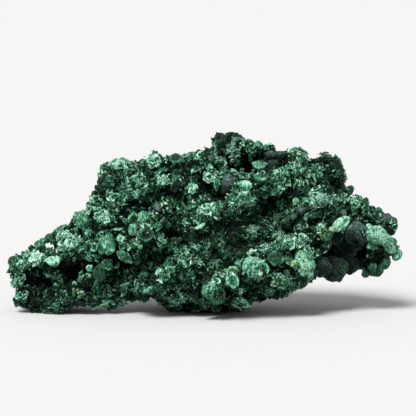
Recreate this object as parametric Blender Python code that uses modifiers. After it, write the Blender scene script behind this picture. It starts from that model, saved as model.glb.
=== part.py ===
"""A fibrous malachite specimen: one grown piece, 185 mm long, that rests on flats under its base.

The stone grew as one mass, so it is one solid: swollen masses, ridges of knobs, round velvet
balls, blocky stubs and cups, fused together and cut level where it stands.

Lengths are millimetres until `to_row` turns them into metres. The shape is laid out on its show
face: `across` to the right, `up` towards the crest and `out` towards the front. That face leans
back by FACE_LEAN, and the ground cuts it off at row z = 0.
"""

import math
import random

import bmesh
import bpy
import numpy as np
from mathutils import Euler, Matrix, Vector

MM = 0.001
NAME = "malachite"
FACE_LEAN = math.radians(6.0)
# Where the show face's zero stands in the row frame, which centres the stone on the row's origin.
FACE_ZERO = (0.45, -2.95)
SEED = 11

# Fineness of the fused surface.
SKIN_VOXEL = 1.3
SKIN_TRIANGLE_SHARE = 0.078
PIT_SUBDIVISIONS = 1
LUMP_SUBDIVISIONS = 3
KNOB_SUBDIVISIONS = 2
LARGEST_KNOB = 5.0

# The ground, a block whose top face is row z = 0.
GROUND_WIDTH = 400.0
GROUND_DEPTH = 60.0

# Swollen masses: (across, up, out), then the radii the same way.
MASSES = (
    # The heart of the stone, hidden under the rest.
    ((0, 36, -4), (45, 28, 22)),
    ((30, 48, -8), (22, 16, 14)),
    # The crumpled upper left.
    ((-27, 54, -1), (24, 18, 20)),
    ((-41, 54, -2), (10.5, 16.5, 16)),
    ((-36, 60, 5), (11, 9, 14)),
    ((-19, 63, 3), (12, 9.5, 15)),
    ((-6, 62, -3), (15, 13, 17)),
    # The cluster of blocks below it.
    ((-45, 34, 1), (12, 11, 16)),
    ((-49, 42, -1), (8, 8, 13)),
    ((-30, 34, 4), (14, 12, 18)),
    # The peak, with its grotto, and the tops to its right.
    ((14, 68, -9), (12.5, 13, 14)),
    ((14, 76, -5), (11, 7, 10)),
    ((28, 66, -10), (12, 10, 13)),
    ((41, 64, -2), (8.5, 13, 17)),
    ((46, 56, -2), (15, 13, 18)),
    ((57, 64.5, -6), (9.5, 9, 13)),
    # The base, the moss under the balls and the lump at the slope's foot.
    ((2, 17, -1), (34, 14, 23)),
    ((2, 12, 6), (32, 9.5, 15)),
    ((0, 9, -6), (25, 12, 16)),
    ((27, 18, 7), (21, 11, 19)),
    ((20, 25, 12), (14, 8, 9)),
    ((44, 26, 3), (8, 10, 14)),
    # The right lobe around its grotto.
    ((55, 47, -4), (17, 9, 15)),
    ((70, 44.5, -6), (13, 7.5, 11)),
    ((62, 30, -15), (15, 13, 7)),
    ((80, 27, -4), (5.5, 9.5, 8)),
    ((80, 37, -5), (7, 6, 8)),
    ((73, 27, -9), (7, 6, 6)),
    # The left lobe around its cave.
    ((-72, 14, -12), (17, 13, 6)),
    ((-79, 20.5, -7), (10, 4.5, 7)),
    ((-79, 7, -6), (8, 6, 9)),
    ((-55, 16, -7), (10, 13, 8)),
    ((-56, 34, -3), (9, 7, 11)),
    # The back.
    ((-18, 30, -20), (14, 12, 9)),
    ((16, 40, -22), (15, 13, 8)),
    ((40, 42, -17), (12, 11, 8)),
    ((-38, 46, -15), (10, 11, 7)),
)

# Chains of swellings: (across, up, out, radius) from one end to the other.
LEFT_ARCH = ((-89, 22.5, 0, 3.4), (-83, 23.5, 2, 3.6), (-78, 24.5, 4, 3.8), (-71, 23, 5, 3.2), (-64, 27, 4, 3.8),
             (-56, 29, 5, 4.4))
LEFT_WALL = ((-89, 21, -2, 3.0), (-88.5, 16, -2, 3.0), (-86, 9, -1, 3.0), (-84, 4.2, 1, 3.0))
LEFT_FLOOR = ((-80, 4.5, 2, 4.2), (-73, 4.5, 4, 4.4), (-67, 5.5, 5, 4.6), (-60, 8.5, 5, 4.6), (-54, 8, 4, 5.0),
              (-46, 9, 4, 4.6))
LEFT_PILLAR = ((-70, 22, 4, 2.6), (-69, 17, 5, 2.2), (-67, 12, 6, 3.0))
WINDOW_BRIDGE = ((-79, 29.3, -1, 1.8), (-76, 33, -3, 1.5), (-71, 35, -3, 2.0), (-67, 36.8, -2, 2.8))
SHOULDER_CHAIN = ((-66, 32, 2, 4.4), (-64.5, 34, 4, 4.0), (-58, 38, 1, 5.2), (-58, 42, 0, 4.2), (-53, 46, 0, 4.4))
SLATE_BLOCKS = ((-52, 22, 5, 4.0), (-45, 20, 6, 5.5), (-38, 16, 5, 6.0))
FOOT_CHAIN = ((-43, 3.5, 3, 3.2), (-44, 8, 3, 4.6), (-37, 11, 3, 4.5), (-30, 10, 4, 6.0))
CREST_LEDGE = ((-36, 56, 15, 4.0), (-28, 57, 17, 4.0), (-20, 59, 17, 3.6), (-12, 60, 15, 3.2))
BELL_RIDGE = ((-3, 41, 19, 3.0), (5, 47, 19, 3.2), (13, 50, 19, 3.6), (17, 55, 17, 4.2), (24, 57.5, 15, 4.0),
              (31, 60, 13, 4.6), (38, 62, 11, 5.0), (42, 67, 9, 5.0))
BALL_RIDGE = ((6, 12, 23, 5.0), (14, 16, 24, 4.0), (22, 24, 23, 4.0), (30, 29, 20, 3.6), (38, 32, 17, 4.0),
              (46, 34, 14, 4.2), (52, 37, 12, 4.0), (60, 40.5, 10, 3.4))
LOWER_LIP = ((-30, 13, 18, 3.6), (-22, 14, 20, 3.2), (-14, 20, 21, 4.0), (-8, 27, 21, 4.4), (-1, 31, 20, 3.4))
PEAK_FOLD = ((8, 76.5, 2, 3.4), (10, 79, 3, 3.4), (15, 78, 3, 3.4), (21, 76.5, 1, 3.2), (28, 74.5, 0, 3.0))
RIGHT_LOBE_CHAIN = ((78, 33, 3, 3.6), (82, 34.5, 2, 4.2), (87, 31, 0, 3.4), (88, 28.5, -1, 2.6))
RIGHT_TAIL = ((63, 48, 3, 4.0), (70, 49, 0, 4.0), (76, 47, -3, 3.2), (81, 43.5, -4, 2.8))
RIGHT_SHELF = ((57, 52, 0, 4.5), (62, 54.5, 0, 3.6), (66, 56.3, 0, 2.6))
BACK_CREST = ((-45, 58, -13, 4.5), (-25, 62, -19, 5.0), (-2, 60, -21, 5.0), (20, 62, -22, 5.0), (44, 64, -19, 5.0))
BACK_BELT = ((-34, 22, -17, 5.0), (-10, 14, -22, 5.0), (12, 22, -26, 5.0), (34, 26, -17, 5.0))
CHAINS = (
    LEFT_ARCH, LEFT_WALL, LEFT_FLOOR, LEFT_PILLAR, WINDOW_BRIDGE, SHOULDER_CHAIN, SLATE_BLOCKS, FOOT_CHAIN,
    CREST_LEDGE, BELL_RIDGE, BALL_RIDGE, LOWER_LIP, PEAK_FOLD, RIGHT_LOBE_CHAIN, RIGHT_TAIL, RIGHT_SHELF, BACK_CREST,
    BACK_BELT,
)
CHAIN_STEP = 0.8
CHAIN_WANDER = 0.35
CHAIN_SWELL = 0.28

# Round velvet balls: (across, up, out, radius).
BALLS = (
    (4.5, 11, 25.5, 6.2), (22, 20.5, 25, 6.6), (32, 26.5, 22, 4.4), (44, 20.5, 19, 7.0), (17, 6.5, 19, 3.8),
    (9, 61, 10, 6.0), (32, 68, 2, 3.8), (3, 72, 8, 2.6), (30, 74.5, 0, 3.0), (34, 74, -2, 2.6),
    (71, 37, 5, 5.4), (55, 32, 9, 3.6), (54, 21.5, 10, 4.6), (61, 20, 2, 5.6), (66, 30, -2, 5.0),
    (61, 36, 1, 4.4), (86, 41, -3, 4.7), (68, 22, -2, 4.0), (44, 48, 15, 3.4), (80, 20.5, 0, 3.8),
    (75.5, 18.5, 1, 2.7), (84, 23, -1, 3.4), (-22, 40, -26, 5.4), (8, 48, -27, 5.0), (28, 34, -24, 5.6),
    (-48, 36, -14, 4.6), (52, 54, -19, 5.2), (0, 30, -28, 4.4), (70, 34, -19, 4.2),
)

# Knobs along the outline: (across, up, radius).
RIM_KNOBS = (
    (-91, 22, 2.0), (-89.5, 24.8, 2.3), (-84.5, 25.5, 1.8), (-82.5, 27, 1.5), (-79, 30, 1.5), (-89.5, 17.5, 2.0),
    (-87.5, 9.5, 1.8), (-85.5, 3.6, 2.4), (-67.5, 37.2, 2.0), (-61, 42.8, 2.6), (-57, 44.5, 2.6), (-53.5, 49.5, 2.0),
    (-52, 54.5, 2.0), (-50.5, 59, 2.0), (-49.5, 64, 2.2), (-47, 67.3, 2.4), (-43.5, 69, 2.0), (-39.5, 70.6, 2.0),
    (-34.5, 68.8, 2.4), (-29.5, 70, 2.4), (-24.3, 72, 2.4), (-19.5, 71.8, 2.2), (-14, 73, 2.6), (-9, 72.2, 2.2),
    (-3.5, 74.4, 2.2), (-0.8, 75, 1.9), (2.3, 75.5, 1.6), (6.8, 81, 3.0), (12.5, 81.6, 2.6), (16, 80.6, 2.4),
    (21, 79.5, 2.4), (24.6, 78.8, 2.2), (29, 76.6, 2.2), (33, 75.2, 2.0), (36.3, 74.6, 1.8), (41, 75.8, 2.8),
    (44.3, 74.3, 2.4), (47, 73, 2.0), (51.5, 70.8, 2.2), (57.5, 72.4, 2.8), (61.5, 71.2, 2.8), (64, 68.4, 2.4),
    (65.4, 64.5, 2.6), (65, 61.3, 2.0), (66.2, 56.5, 2.0), (71.5, 52.6, 1.8), (75, 52, 1.9), (76.3, 49, 1.7),
    (80.5, 46.5, 2.0), (82, 45.5, 1.6), (86.8, 34, 1.8), (90.3, 31, 1.9), (90, 27.3, 1.9), (82, 18.8, 2.0),
    (-43, 2.0, 1.8), (-55.5, 4.5, 2.0), (-50.5, 6.6, 1.8), (-37.5, 6.5, 1.8),
)
RIM_OUT_SPREAD = 1.5

# Stubs and cups on the show face: (across, up, radius, height, tilt to the right, tilt up), tilts in degrees.
STUBS = (
    (-72, 24.5, 2.4, 4.5, 10, 55), (-46, 31, 4.2, 6.0, -15, -20), (-38.5, 35.5, 2.6, 5.0, 10, -30),
    (-33, 39, 2.8, 5.0, 15, -10), (-27.5, 45, 3.4, 4.5, 5, 25), (-36, 27.5, 3.2, 5.5, 20, -25),
    (-52, 26, 2.6, 5.0, -35, 20), (-54, 21, 2.0, 5.0, -20, 10), (-48.5, 20, 3.6, 5.0, 10, -15),
    (-21, 40, 2.6, 4.0, 20, -10), (2.5, 67.5, 2.4, 4.0, -30, 30), (25.5, 68.5, 3.0, 4.5, 10, 10),
    (26, 62, 3.2, 4.0, 10, 40), (61, 41.5, 3.4, 5.0, 30, 10), (46.5, 27, 3.0, 4.0, 15, 30),
    (39.5, 21, 2.0, 4.0, -20, 0), (87, 28.5, 2.6, 4.0, 40, -20), (65, 55.5, 2.6, 3.0, 20, 10),
    (8, 79.5, 3.4, 4.0, -15, 20), (-6, 58.5, 2.4, 3.5, 0, 10), (50, 26.5, 2.0, 4.0, 40, 20),
    (-23.5, 70.5, 2.0, 2.5, 0, 50),
)
CUPS = (
    (-64.5, 33.5, 4.2, 5.0, -5, 5), (-33.5, 44.5, 3.0, 4.0, 0, 15), (-28, 37, 3.8, 5.0, 10, -5),
    (-45, 22.5, 3.2, 4.5, 5, 10), (13, 16, 3.8, 5.0, -20, 0), (32, 26, 3.6, 4.0, 10, -10),
    (18, 59, 3.4, 4.0, -10, 55), (8, 69, 2.8, 4.0, -20, 10), (-23.5, 36, 2.4, 4.0, 15, 0), (51, 53, 3.6, 3.5, 10, 15),
)
# Pits where the growth parted: (across, up, radius).
PITS = (
    (2.5, 59, 2.4), (8.5, 54.5, 3.0), (-33, 51.5, 2.6), (-24, 55, 2.6), (-12, 57.5, 2.4), (-14, 36, 4.0),
    (20, 70, 4.4), (12, 69.5, 2.6), (30, 71.5, 2.4), (-63, 19, 4.0), (66, 31, 5.0), (10, 9, 2.0), (-33, 10.5, 1.8),
    (58, 52, 2.2), (-4, 44, 2.2), (-80, 14, 4.5), (73, 43, 2.2), (-50, 29, 2.0), (27, 47, 2.4), (38, 15, 2.4),
)
PIT_DEPTH = 1.7
STUB_SIDES = 6
CUP_SIDES = 8
STUB_TAPER = 0.82
CUP_RIM_SHARE = 0.28
CUP_DEPTH_SHARE = 0.35
STUB_ROOT = 3.0
STUB_SINK_SHARE = 0.3

# Knobs that grew all over, smaller on the mossy slope.
GROWTH_KNOBS = 520
GROWTH_TRIES = 60000
GROWTH_RADII = (2.0, 3.6)
GROWTH_SPACING = 1.0
GROWTH_SINK = 0.05
GROWTH_BURIED = 0.4
# Places on the show face where few knobs grew: (across, up), then how wide and high, from the middle.
QUIET_PLACES = (
    ((20, 40), (24, 13)), ((-79, 14), (9, 7)), ((-62.5, 19), (5.5, 5)), ((66, 30), (10, 7.5)), ((20, 69), (14, 5)),
    ((-13, 37), (8, 5)),
)
QUIET_SHARE = 0.2
QUIET_BACK = -12.0
OUTLINE_CHECKS = 8
OUTLINE_SHARE = 0.85

# Stubs that grew at the back, scattered the same way.
BACK_STUBS = 18
BACK_STUB_RADII = (1.8, 3.2)
BACK_STUB_PROUD = 1.3
BACK_STUB_FACING = -0.45
BACK_STUB_SPACING = 11.0
BACK_STUB_LOWEST = 8.0
BACK_STUB_BURIED = 0.3

# A swelling that grew last and closed the gap under the cluster of blocks: (across, up, out), radii.
LATE_SWELLING = ((-36, 19, -4), (5, 4.5, 4))

# The colour of dark silky malachite.
DARK_GREEN = (0.012, 0.09, 0.05, 1)
SILKY_ROUGHNESS = 0.55


def to_row(across, up, out):
    """A place on the leaning show face, in millimetres, as a point in the row frame, in metres."""
    x = across + FACE_ZERO[0]
    y = up * math.sin(FACE_LEAN) - out * math.cos(FACE_LEAN) + FACE_ZERO[1]
    z = up * math.cos(FACE_LEAN) + out * math.sin(FACE_LEAN)
    return Vector((x, y, z)) * MM


def face_axes():
    """Across, up and out as the columns of a rotation."""
    zero = to_row(0, 0, 0)
    sides = [to_row(1, 0, 0) - zero, to_row(0, 1, 0) - zero, to_row(0, 0, 1) - zero]
    return Matrix([side.normalized() for side in sides]).transposed().to_4x4()


def chain_lumps(chain, rng):
    """Swellings of uneven size along a wandering chain, close enough to read as one knobbly ridge."""
    lumps = []
    for start, end in zip(chain, chain[1:]):
        a, b = Vector(start[:3]), Vector(end[:3])
        steps = max(1, math.ceil((b - a).length / (CHAIN_STEP * min(start[3], end[3]))))
        for step in range(steps + 1):
            share = step / steps
            radius = start[3] + (end[3] - start[3]) * share
            wander = Vector([rng.uniform(-1, 1) * CHAIN_WANDER * radius for _ in range(3)])
            radius *= rng.uniform(1 - CHAIN_SWELL, 1 + CHAIN_SWELL)
            lumps.append((tuple(a.lerp(b, share) + wander), (radius,) * 3))
    return lumps


class Growth:
    """The list of lumps so far, with the tests that later lumps need to sit on it."""

    def __init__(self):
        self.centres = np.empty((0, 3))
        self.radii = np.empty((0, 3))

    def add(self, lumps):
        for centre, radii in lumps:
            self.centres = np.vstack([self.centres, centre])
            self.radii = np.vstack([self.radii, radii])

    def front(self, across, up):
        """How far out the foremost lump reaches at this place, or None past the outline."""
        flat = (np.array([across, up]) - self.centres[:, :2]) / self.radii[:, :2]
        left = 1 - (flat**2).sum(1)
        hit = left > 0
        if not hit.any():
            return None
        return float((self.centres[hit, 2] + self.radii[hit, 2] * np.sqrt(left[hit])).max())

    def outline_holds(self, centre, radius):
        """Whether a round thing of this size stays inside the outline, seen from the show side."""
        turns = (math.tau * step / OUTLINE_CHECKS for step in range(OUTLINE_CHECKS))
        ends = ((centre[0] + radius * math.cos(turn), centre[1] + radius * math.sin(turn)) for turn in turns)
        return all(self.front(across, up) is not None for across, up in ends)

    def depth_near(self, across, up):
        """How far out the lump lies that is nearest to this place, for a knob to grow from."""
        flat = (np.array([across, up]) - self.centres[:, :2]) / self.radii[:, :2]
        return float(self.centres[(flat**2).sum(1).argmin(), 2])

    def buried(self, point, margin):
        """Whether the point lies deeper than margin under any lump."""
        reach = (((point - self.centres) / (self.radii - margin)) ** 2).sum(1)
        return bool((reach < 1).any())

    def surface_point(self, rng):
        """A random point on a random lump, with the way it faces."""
        areas = (self.radii[:, 0] * self.radii[:, 1] * self.radii[:, 2]) ** (2 / 3)
        pick = rng.choices(range(len(areas)), weights=areas)[0]
        aim = Vector((rng.gauss(0, 1), rng.gauss(0, 1), rng.gauss(0, 1))).normalized()
        point = self.centres[pick] + self.radii[pick] * np.array(aim)
        return point, Vector(np.array(aim) / self.radii[pick]).normalized()


def in_quiet_place(point):
    """Whether a point on the show face lies in one of the quiet places."""
    spread = (((point[0] - a) / wide) ** 2 + ((point[1] - u) / high) ** 2 for (a, u), (wide, high) in QUIET_PLACES)
    return point[2] > QUIET_BACK and min(spread) < 1


def rim_knobs(growth, rng):
    """The outline's knobs, each beside the lump that it grew from."""
    return [
        ((across, up, growth.depth_near(across, up) + rng.uniform(-1, 1) * RIM_OUT_SPREAD), (radius,) * 3)
        for across, up, radius in RIM_KNOBS
    ]


def growth_knobs(growth, rng):
    """Small knobs all over the surface, none buried, none crowding another and none past the outline."""
    found = []
    for _ in range(GROWTH_TRIES):
        if len(found) == GROWTH_KNOBS:
            break
        point, facing = growth.surface_point(rng)
        radius = rng.uniform(*GROWTH_RADII)
        if growth.buried(point, GROWTH_BURIED) or (in_quiet_place(point) and rng.random() > QUIET_SHARE):
            continue
        centre = point - np.array(facing) * radius * GROWTH_SINK
        near = (np.linalg.norm(centre - other) < (radius + size) * GROWTH_SPACING for other, size in found)
        if not any(near) and growth.outline_holds(centre, radius * OUTLINE_SHARE):
            found.append((centre, radius))
    return [(tuple(centre), (radius,) * 3) for centre, radius in found]


def add_lump(bm, centre, radii, subdivisions):
    place = Matrix.Translation(to_row(*centre)) @ face_axes() @ Matrix.Diagonal([r * MM for r in radii]).to_4x4()
    bmesh.ops.create_icosphere(bm, subdivisions=subdivisions, radius=1, matrix=place)


def add_stub(bm, base, aim, radius, height, sides, hollow, spin):
    """A blocky crystal stub that widens towards its flat end, or a cup with a sunken end."""
    turn = aim.to_track_quat("Z", "Y").to_matrix().to_4x4() @ Matrix.Rotation(spin, 4, "Z")
    place = Matrix.Translation(base) @ turn @ Matrix.Translation((0, 0, (height - STUB_ROOT) / 2 * MM))
    made = bmesh.ops.create_cone(
        bm, cap_ends=True, segments=sides, radius1=radius * STUB_TAPER * MM, radius2=radius * MM,
        depth=(height + STUB_ROOT) * MM, matrix=place,
    )
    if hollow:
        faces = {face for vert in made["verts"] for face in vert.link_faces if len(face.verts) == sides}
        end = max(faces, key=lambda face: (face.calc_center_median() - base).dot(aim))
        bmesh.ops.inset_individual(bm, faces=[end], thickness=radius * CUP_RIM_SHARE * MM)
        bmesh.ops.translate(bm, verts=end.verts, vec=-aim * height * CUP_DEPTH_SHARE * MM)


def aim_of(tilt_right, tilt_up):
    """The way a stub points: straight out of the show face, then tilted."""
    turned = Euler((-math.radians(tilt_up), math.radians(tilt_right), 0)).to_matrix() @ Vector((0, 0, 1))
    return (face_axes() @ turned).normalized()


def face_stubs(growth, rng):
    """Each named stub or cup with its base on the stone's front: (base, aim, radius, height, sides, hollow, spin)."""
    found = []
    for row, sides, hollow in [(r, STUB_SIDES, False) for r in STUBS] + [(r, CUP_SIDES, True) for r in CUPS]:
        across, up, radius, height, tilt_right, tilt_up = row
        front = growth.front(across, up)
        base = to_row(across, up, (0 if front is None else front) - height * STUB_SINK_SHARE)
        found.append((base, aim_of(tilt_right, tilt_up), radius, height, sides, hollow, rng.uniform(0, math.pi)))
    return found


def pit_object(growth, collection):
    """All the pits as one cutter, each a pocket that runs into the stone from its front."""
    bm = bmesh.new()
    for across, up, radius in PITS:
        add_lump(bm, (across, up, growth.front(across, up)), (radius, radius, radius * PIT_DEPTH), PIT_SUBDIVISIONS)
    return helper(mesh_object("pit_cutter", bm, collection))


def scattered_stubs(growth, rng):
    """Stubs at random places on the back."""
    found = []
    while len(found) < BACK_STUBS:
        point, facing = growth.surface_point(rng)
        base = to_row(*point)
        if growth.buried(point, BACK_STUB_BURIED) or facing.z > BACK_STUB_FACING or base.z < BACK_STUB_LOWEST * MM:
            continue
        if any((base - other[0]).length < BACK_STUB_SPACING * MM for other in found):
            continue
        radius = rng.uniform(*BACK_STUB_RADII)
        aim = (face_axes() @ facing).normalized()
        found.append((base, aim, radius, radius * BACK_STUB_PROUD, STUB_SIDES, False, rng.uniform(0, math.pi)))
    return found


def mesh_object(name, bm, collection):
    mesh = bpy.data.meshes.new(name)
    bm.to_mesh(mesh)
    bm.free()
    made = bpy.data.objects.new(name, mesh)
    collection.objects.link(made)
    return made


def helper(made):
    """Marks an object as a cutter or joiner that isn't itself part of the stone."""
    made.hide_render = True
    made.display_type = "WIRE"
    return made


def malachite_material():
    material = bpy.data.materials.new("malachite_green")
    material.use_nodes = True
    shader = material.node_tree.nodes["Principled BSDF"]
    shader.inputs["Base Color"].default_value = DARK_GREEN
    shader.inputs["Roughness"].default_value = SILKY_ROUGHNESS
    shader.inputs["Metallic"].default_value = 0.0
    return material


def collection_named(name):
    made = bpy.data.collections.new(name)
    bpy.context.scene.collection.children.link(made)
    return made


def grown_mass(growth, collection):
    """All lumps as overlapping balls in one mesh, which the voxel skin then fuses."""
    bm = bmesh.new()
    for centre, radii in zip(growth.centres, growth.radii):
        add_lump(bm, centre, radii, LUMP_SUBDIVISIONS if max(radii) > LARGEST_KNOB else KNOB_SUBDIVISIONS)
    return mesh_object(NAME, bm, collection)


def ground_block(collection):
    bm = bmesh.new()
    size = Matrix.Diagonal((GROUND_WIDTH * MM, GROUND_WIDTH * MM, GROUND_DEPTH * MM)).to_4x4()
    bmesh.ops.create_cube(bm, size=1, matrix=Matrix.Translation((0, 0, -GROUND_DEPTH / 2 * MM)) @ size)
    return helper(mesh_object("ground_cutter", bm, collection))


def stub_object(stub, index, collection):
    bm = bmesh.new()
    add_stub(bm, *stub)
    return helper(mesh_object(f"stub_joiner_{index:02d}", bm, collection))


def add_modifier(stone, name, kind, **settings):
    modifier = stone.modifiers.new(name, kind)
    for key, value in settings.items():
        setattr(modifier, key, value)


def build():
    rng = random.Random(SEED)
    growth = Growth()
    growth.add(MASSES)
    for chain in CHAINS:
        growth.add(chain_lumps(chain, rng))
    growth.add([((a, u, o), (r, r, r)) for a, u, o, r in BALLS])
    growth.add(rim_knobs(growth, rng))
    stubs = face_stubs(growth, rng) + scattered_stubs(growth, rng)
    growth.add(growth_knobs(growth, rng))
    growth.add([LATE_SWELLING])
    cutters = collection_named("cutters")
    pits = pit_object(growth, cutters)
    ground = ground_block(cutters)

    parts = collection_named("malachite_specimen")
    joiners = collection_named("stub_joiners")
    stone = grown_mass(growth, parts)
    stone.data.materials.append(malachite_material())
    for index, stub in enumerate(stubs):
        stub_object(stub, index, joiners)

    add_modifier(stone, "fuse lumps", "REMESH", mode="VOXEL", voxel_size=SKIN_VOXEL * MM)
    add_modifier(stone, "broad facets", "DECIMATE", ratio=SKIN_TRIANGLE_SHARE)
    # EXACT leaves open edges on this crumpled skin, so the closed-mesh solver joins and cuts it.
    add_modifier(stone, "open pits", "BOOLEAN", solver="MANIFOLD", operation="DIFFERENCE", object=pits)
    add_modifier(stone, "join stubs", "BOOLEAN", solver="MANIFOLD", operation="UNION", operand_type="COLLECTION",
                 collection=joiners)
    add_modifier(stone, "stand level", "BOOLEAN", solver="MANIFOLD", operation="DIFFERENCE", object=ground)
    add_modifier(stone, "triangles", "TRIANGULATE")
    return stone


def clear_scene():
    for leftover in list(bpy.data.objects):
        bpy.data.objects.remove(leftover)


clear_scene()
build()
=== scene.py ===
# %% [markdown]
# # A fibrous malachite specimen
#
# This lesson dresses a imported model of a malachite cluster: one stone, 185 mm long, that grew as
# swollen masses, velvet balls, cups, stubs and fine curled fibres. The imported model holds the
# stone's real size and main shapes. Everything here is added in the same frame, in metres, with
# +Z up and the show side facing -Y.

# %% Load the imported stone
import math

import bmesh
import bpy
import numpy as np
from mathutils import Euler, Matrix, Vector, noise
from mathutils.bvhtree import BVHTree


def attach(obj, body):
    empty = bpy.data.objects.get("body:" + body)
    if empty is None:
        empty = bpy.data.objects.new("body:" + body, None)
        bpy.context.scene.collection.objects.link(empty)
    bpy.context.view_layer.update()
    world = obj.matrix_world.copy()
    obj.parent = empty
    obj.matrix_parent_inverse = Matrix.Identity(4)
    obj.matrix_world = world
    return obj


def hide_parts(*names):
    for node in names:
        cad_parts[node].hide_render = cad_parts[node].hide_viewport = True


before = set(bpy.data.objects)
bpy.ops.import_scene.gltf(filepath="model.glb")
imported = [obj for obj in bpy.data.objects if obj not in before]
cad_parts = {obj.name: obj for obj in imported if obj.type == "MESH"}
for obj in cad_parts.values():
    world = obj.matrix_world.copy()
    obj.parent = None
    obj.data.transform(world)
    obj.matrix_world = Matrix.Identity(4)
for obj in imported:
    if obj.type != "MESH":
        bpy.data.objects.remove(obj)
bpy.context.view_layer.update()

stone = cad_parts["malachite"]

# %% [markdown]
# ## Places on the show face
#
# The stone was laid out on a face that leans back by six degrees: `across` to the right, `up`
# towards the crest and `out` towards the front, all in millimetres. These helpers turn such places
# into the frame's metres and back, so that a feature can be named by where it sits on that face.

# %% Turn face places into frame points and back
MM = 0.001
FACE_LEAN = math.radians(6.0)
FACE_ZERO = np.array([0.45, -2.95, 0.0])
ACROSS = np.array([1.0, 0.0, 0.0])
UP = np.array([0.0, math.sin(FACE_LEAN), math.cos(FACE_LEAN)])
OUT = np.array([0.0, -math.cos(FACE_LEAN), math.sin(FACE_LEAN)])


def to_frame(across, up, out):
    """A place on the show face, in millimetres, as a frame point in metres."""
    return Vector((ACROSS * across + UP * up + OUT * out + FACE_ZERO) * MM)


def to_face(points):
    """Frame points, an array in metres, as across, up and out in millimetres."""
    local = np.asarray(points) / MM - FACE_ZERO
    return local @ ACROSS, local @ UP, local @ OUT


# %% [markdown]
# ## The camera
#
# The stone is looked at from a metre away and six degrees above level, with a long lens, as a
# hand-held thing is seen. It comes first, so that every later step can be judged from it.

# %% Make the camera
VIEW_DISTANCE = 1.0
VIEW_WIDTH = 0.1955
AIM = to_frame(1.4, 48.9, 0)


def add_object(name, data):
    """Put a mesh, camera or lamp in the scene as an object at the origin."""
    thing = bpy.data.objects.new(name, data)
    bpy.context.scene.collection.objects.link(thing)
    return thing


camera = add_object("camera", bpy.data.cameras.new("camera"))
camera.data.sensor_width = 36
camera.data.lens = camera.data.sensor_width * VIEW_DISTANCE / VIEW_WIDTH
camera.location = AIM + Vector(OUT) * VIEW_DISTANCE
camera.rotation_euler = (-Vector(OUT)).to_track_quat("-Z", "Y").to_euler()
bpy.context.scene.camera = camera
print("lens", round(camera.data.lens), "mm")

# %% [markdown]
# ## Floor and soft light
#
# A plain pale floor runs far behind the stone, so that its far end fills the background. A sun
# with a wide disc gives the soft shadows of a large lamp above and to the left, and an even white
# sky fills them. Standard display keeps the greens as they are mixed.

# %% Make the floor, the sky and the sun
FLOOR_SIDE = 90.0
FLOOR_TONE = (0.62, 0.62, 0.61, 1)
FLOOR_ROUGHNESS = 0.9
SKY_TONE = (1.0, 1.0, 1.0, 1)
SKY_STRENGTH = 0.5
SUN_STRENGTH = 3.9
SUN_DISC = math.radians(26)
SUN_TOWARDS = Vector((0.35, 0.62, -1.0))

floor_mesh = bmesh.new()
bmesh.ops.create_grid(floor_mesh, x_segments=1, y_segments=1, size=FLOOR_SIDE / 2)
floor_data = bpy.data.meshes.new("floor")
floor_mesh.to_mesh(floor_data)
floor_mesh.free()
floor = add_object("floor", floor_data)

floor_finish = bpy.data.materials.new("pale floor")
floor_finish.use_nodes = True
floor_shader = floor_finish.node_tree.nodes["Principled BSDF"]
floor_shader.inputs["Base Color"].default_value = FLOOR_TONE
floor_shader.inputs["Roughness"].default_value = FLOOR_ROUGHNESS
floor_data.materials.append(floor_finish)

sky = bpy.data.worlds.new("even sky")
sky.use_nodes = True
sky_shader = sky.node_tree.nodes["Background"]
sky_shader.inputs["Color"].default_value = SKY_TONE
sky_shader.inputs["Strength"].default_value = SKY_STRENGTH
bpy.context.scene.world = sky

sun = add_object("sun", bpy.data.lights.new("sun", "SUN"))
sun.data.energy = SUN_STRENGTH
sun.data.angle = SUN_DISC
sun.rotation_euler = SUN_TOWARDS.to_track_quat("-Z", "Y").to_euler()
bpy.context.scene.view_settings.view_transform = "Standard"
print("floor, sky and sun are in place")
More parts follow.
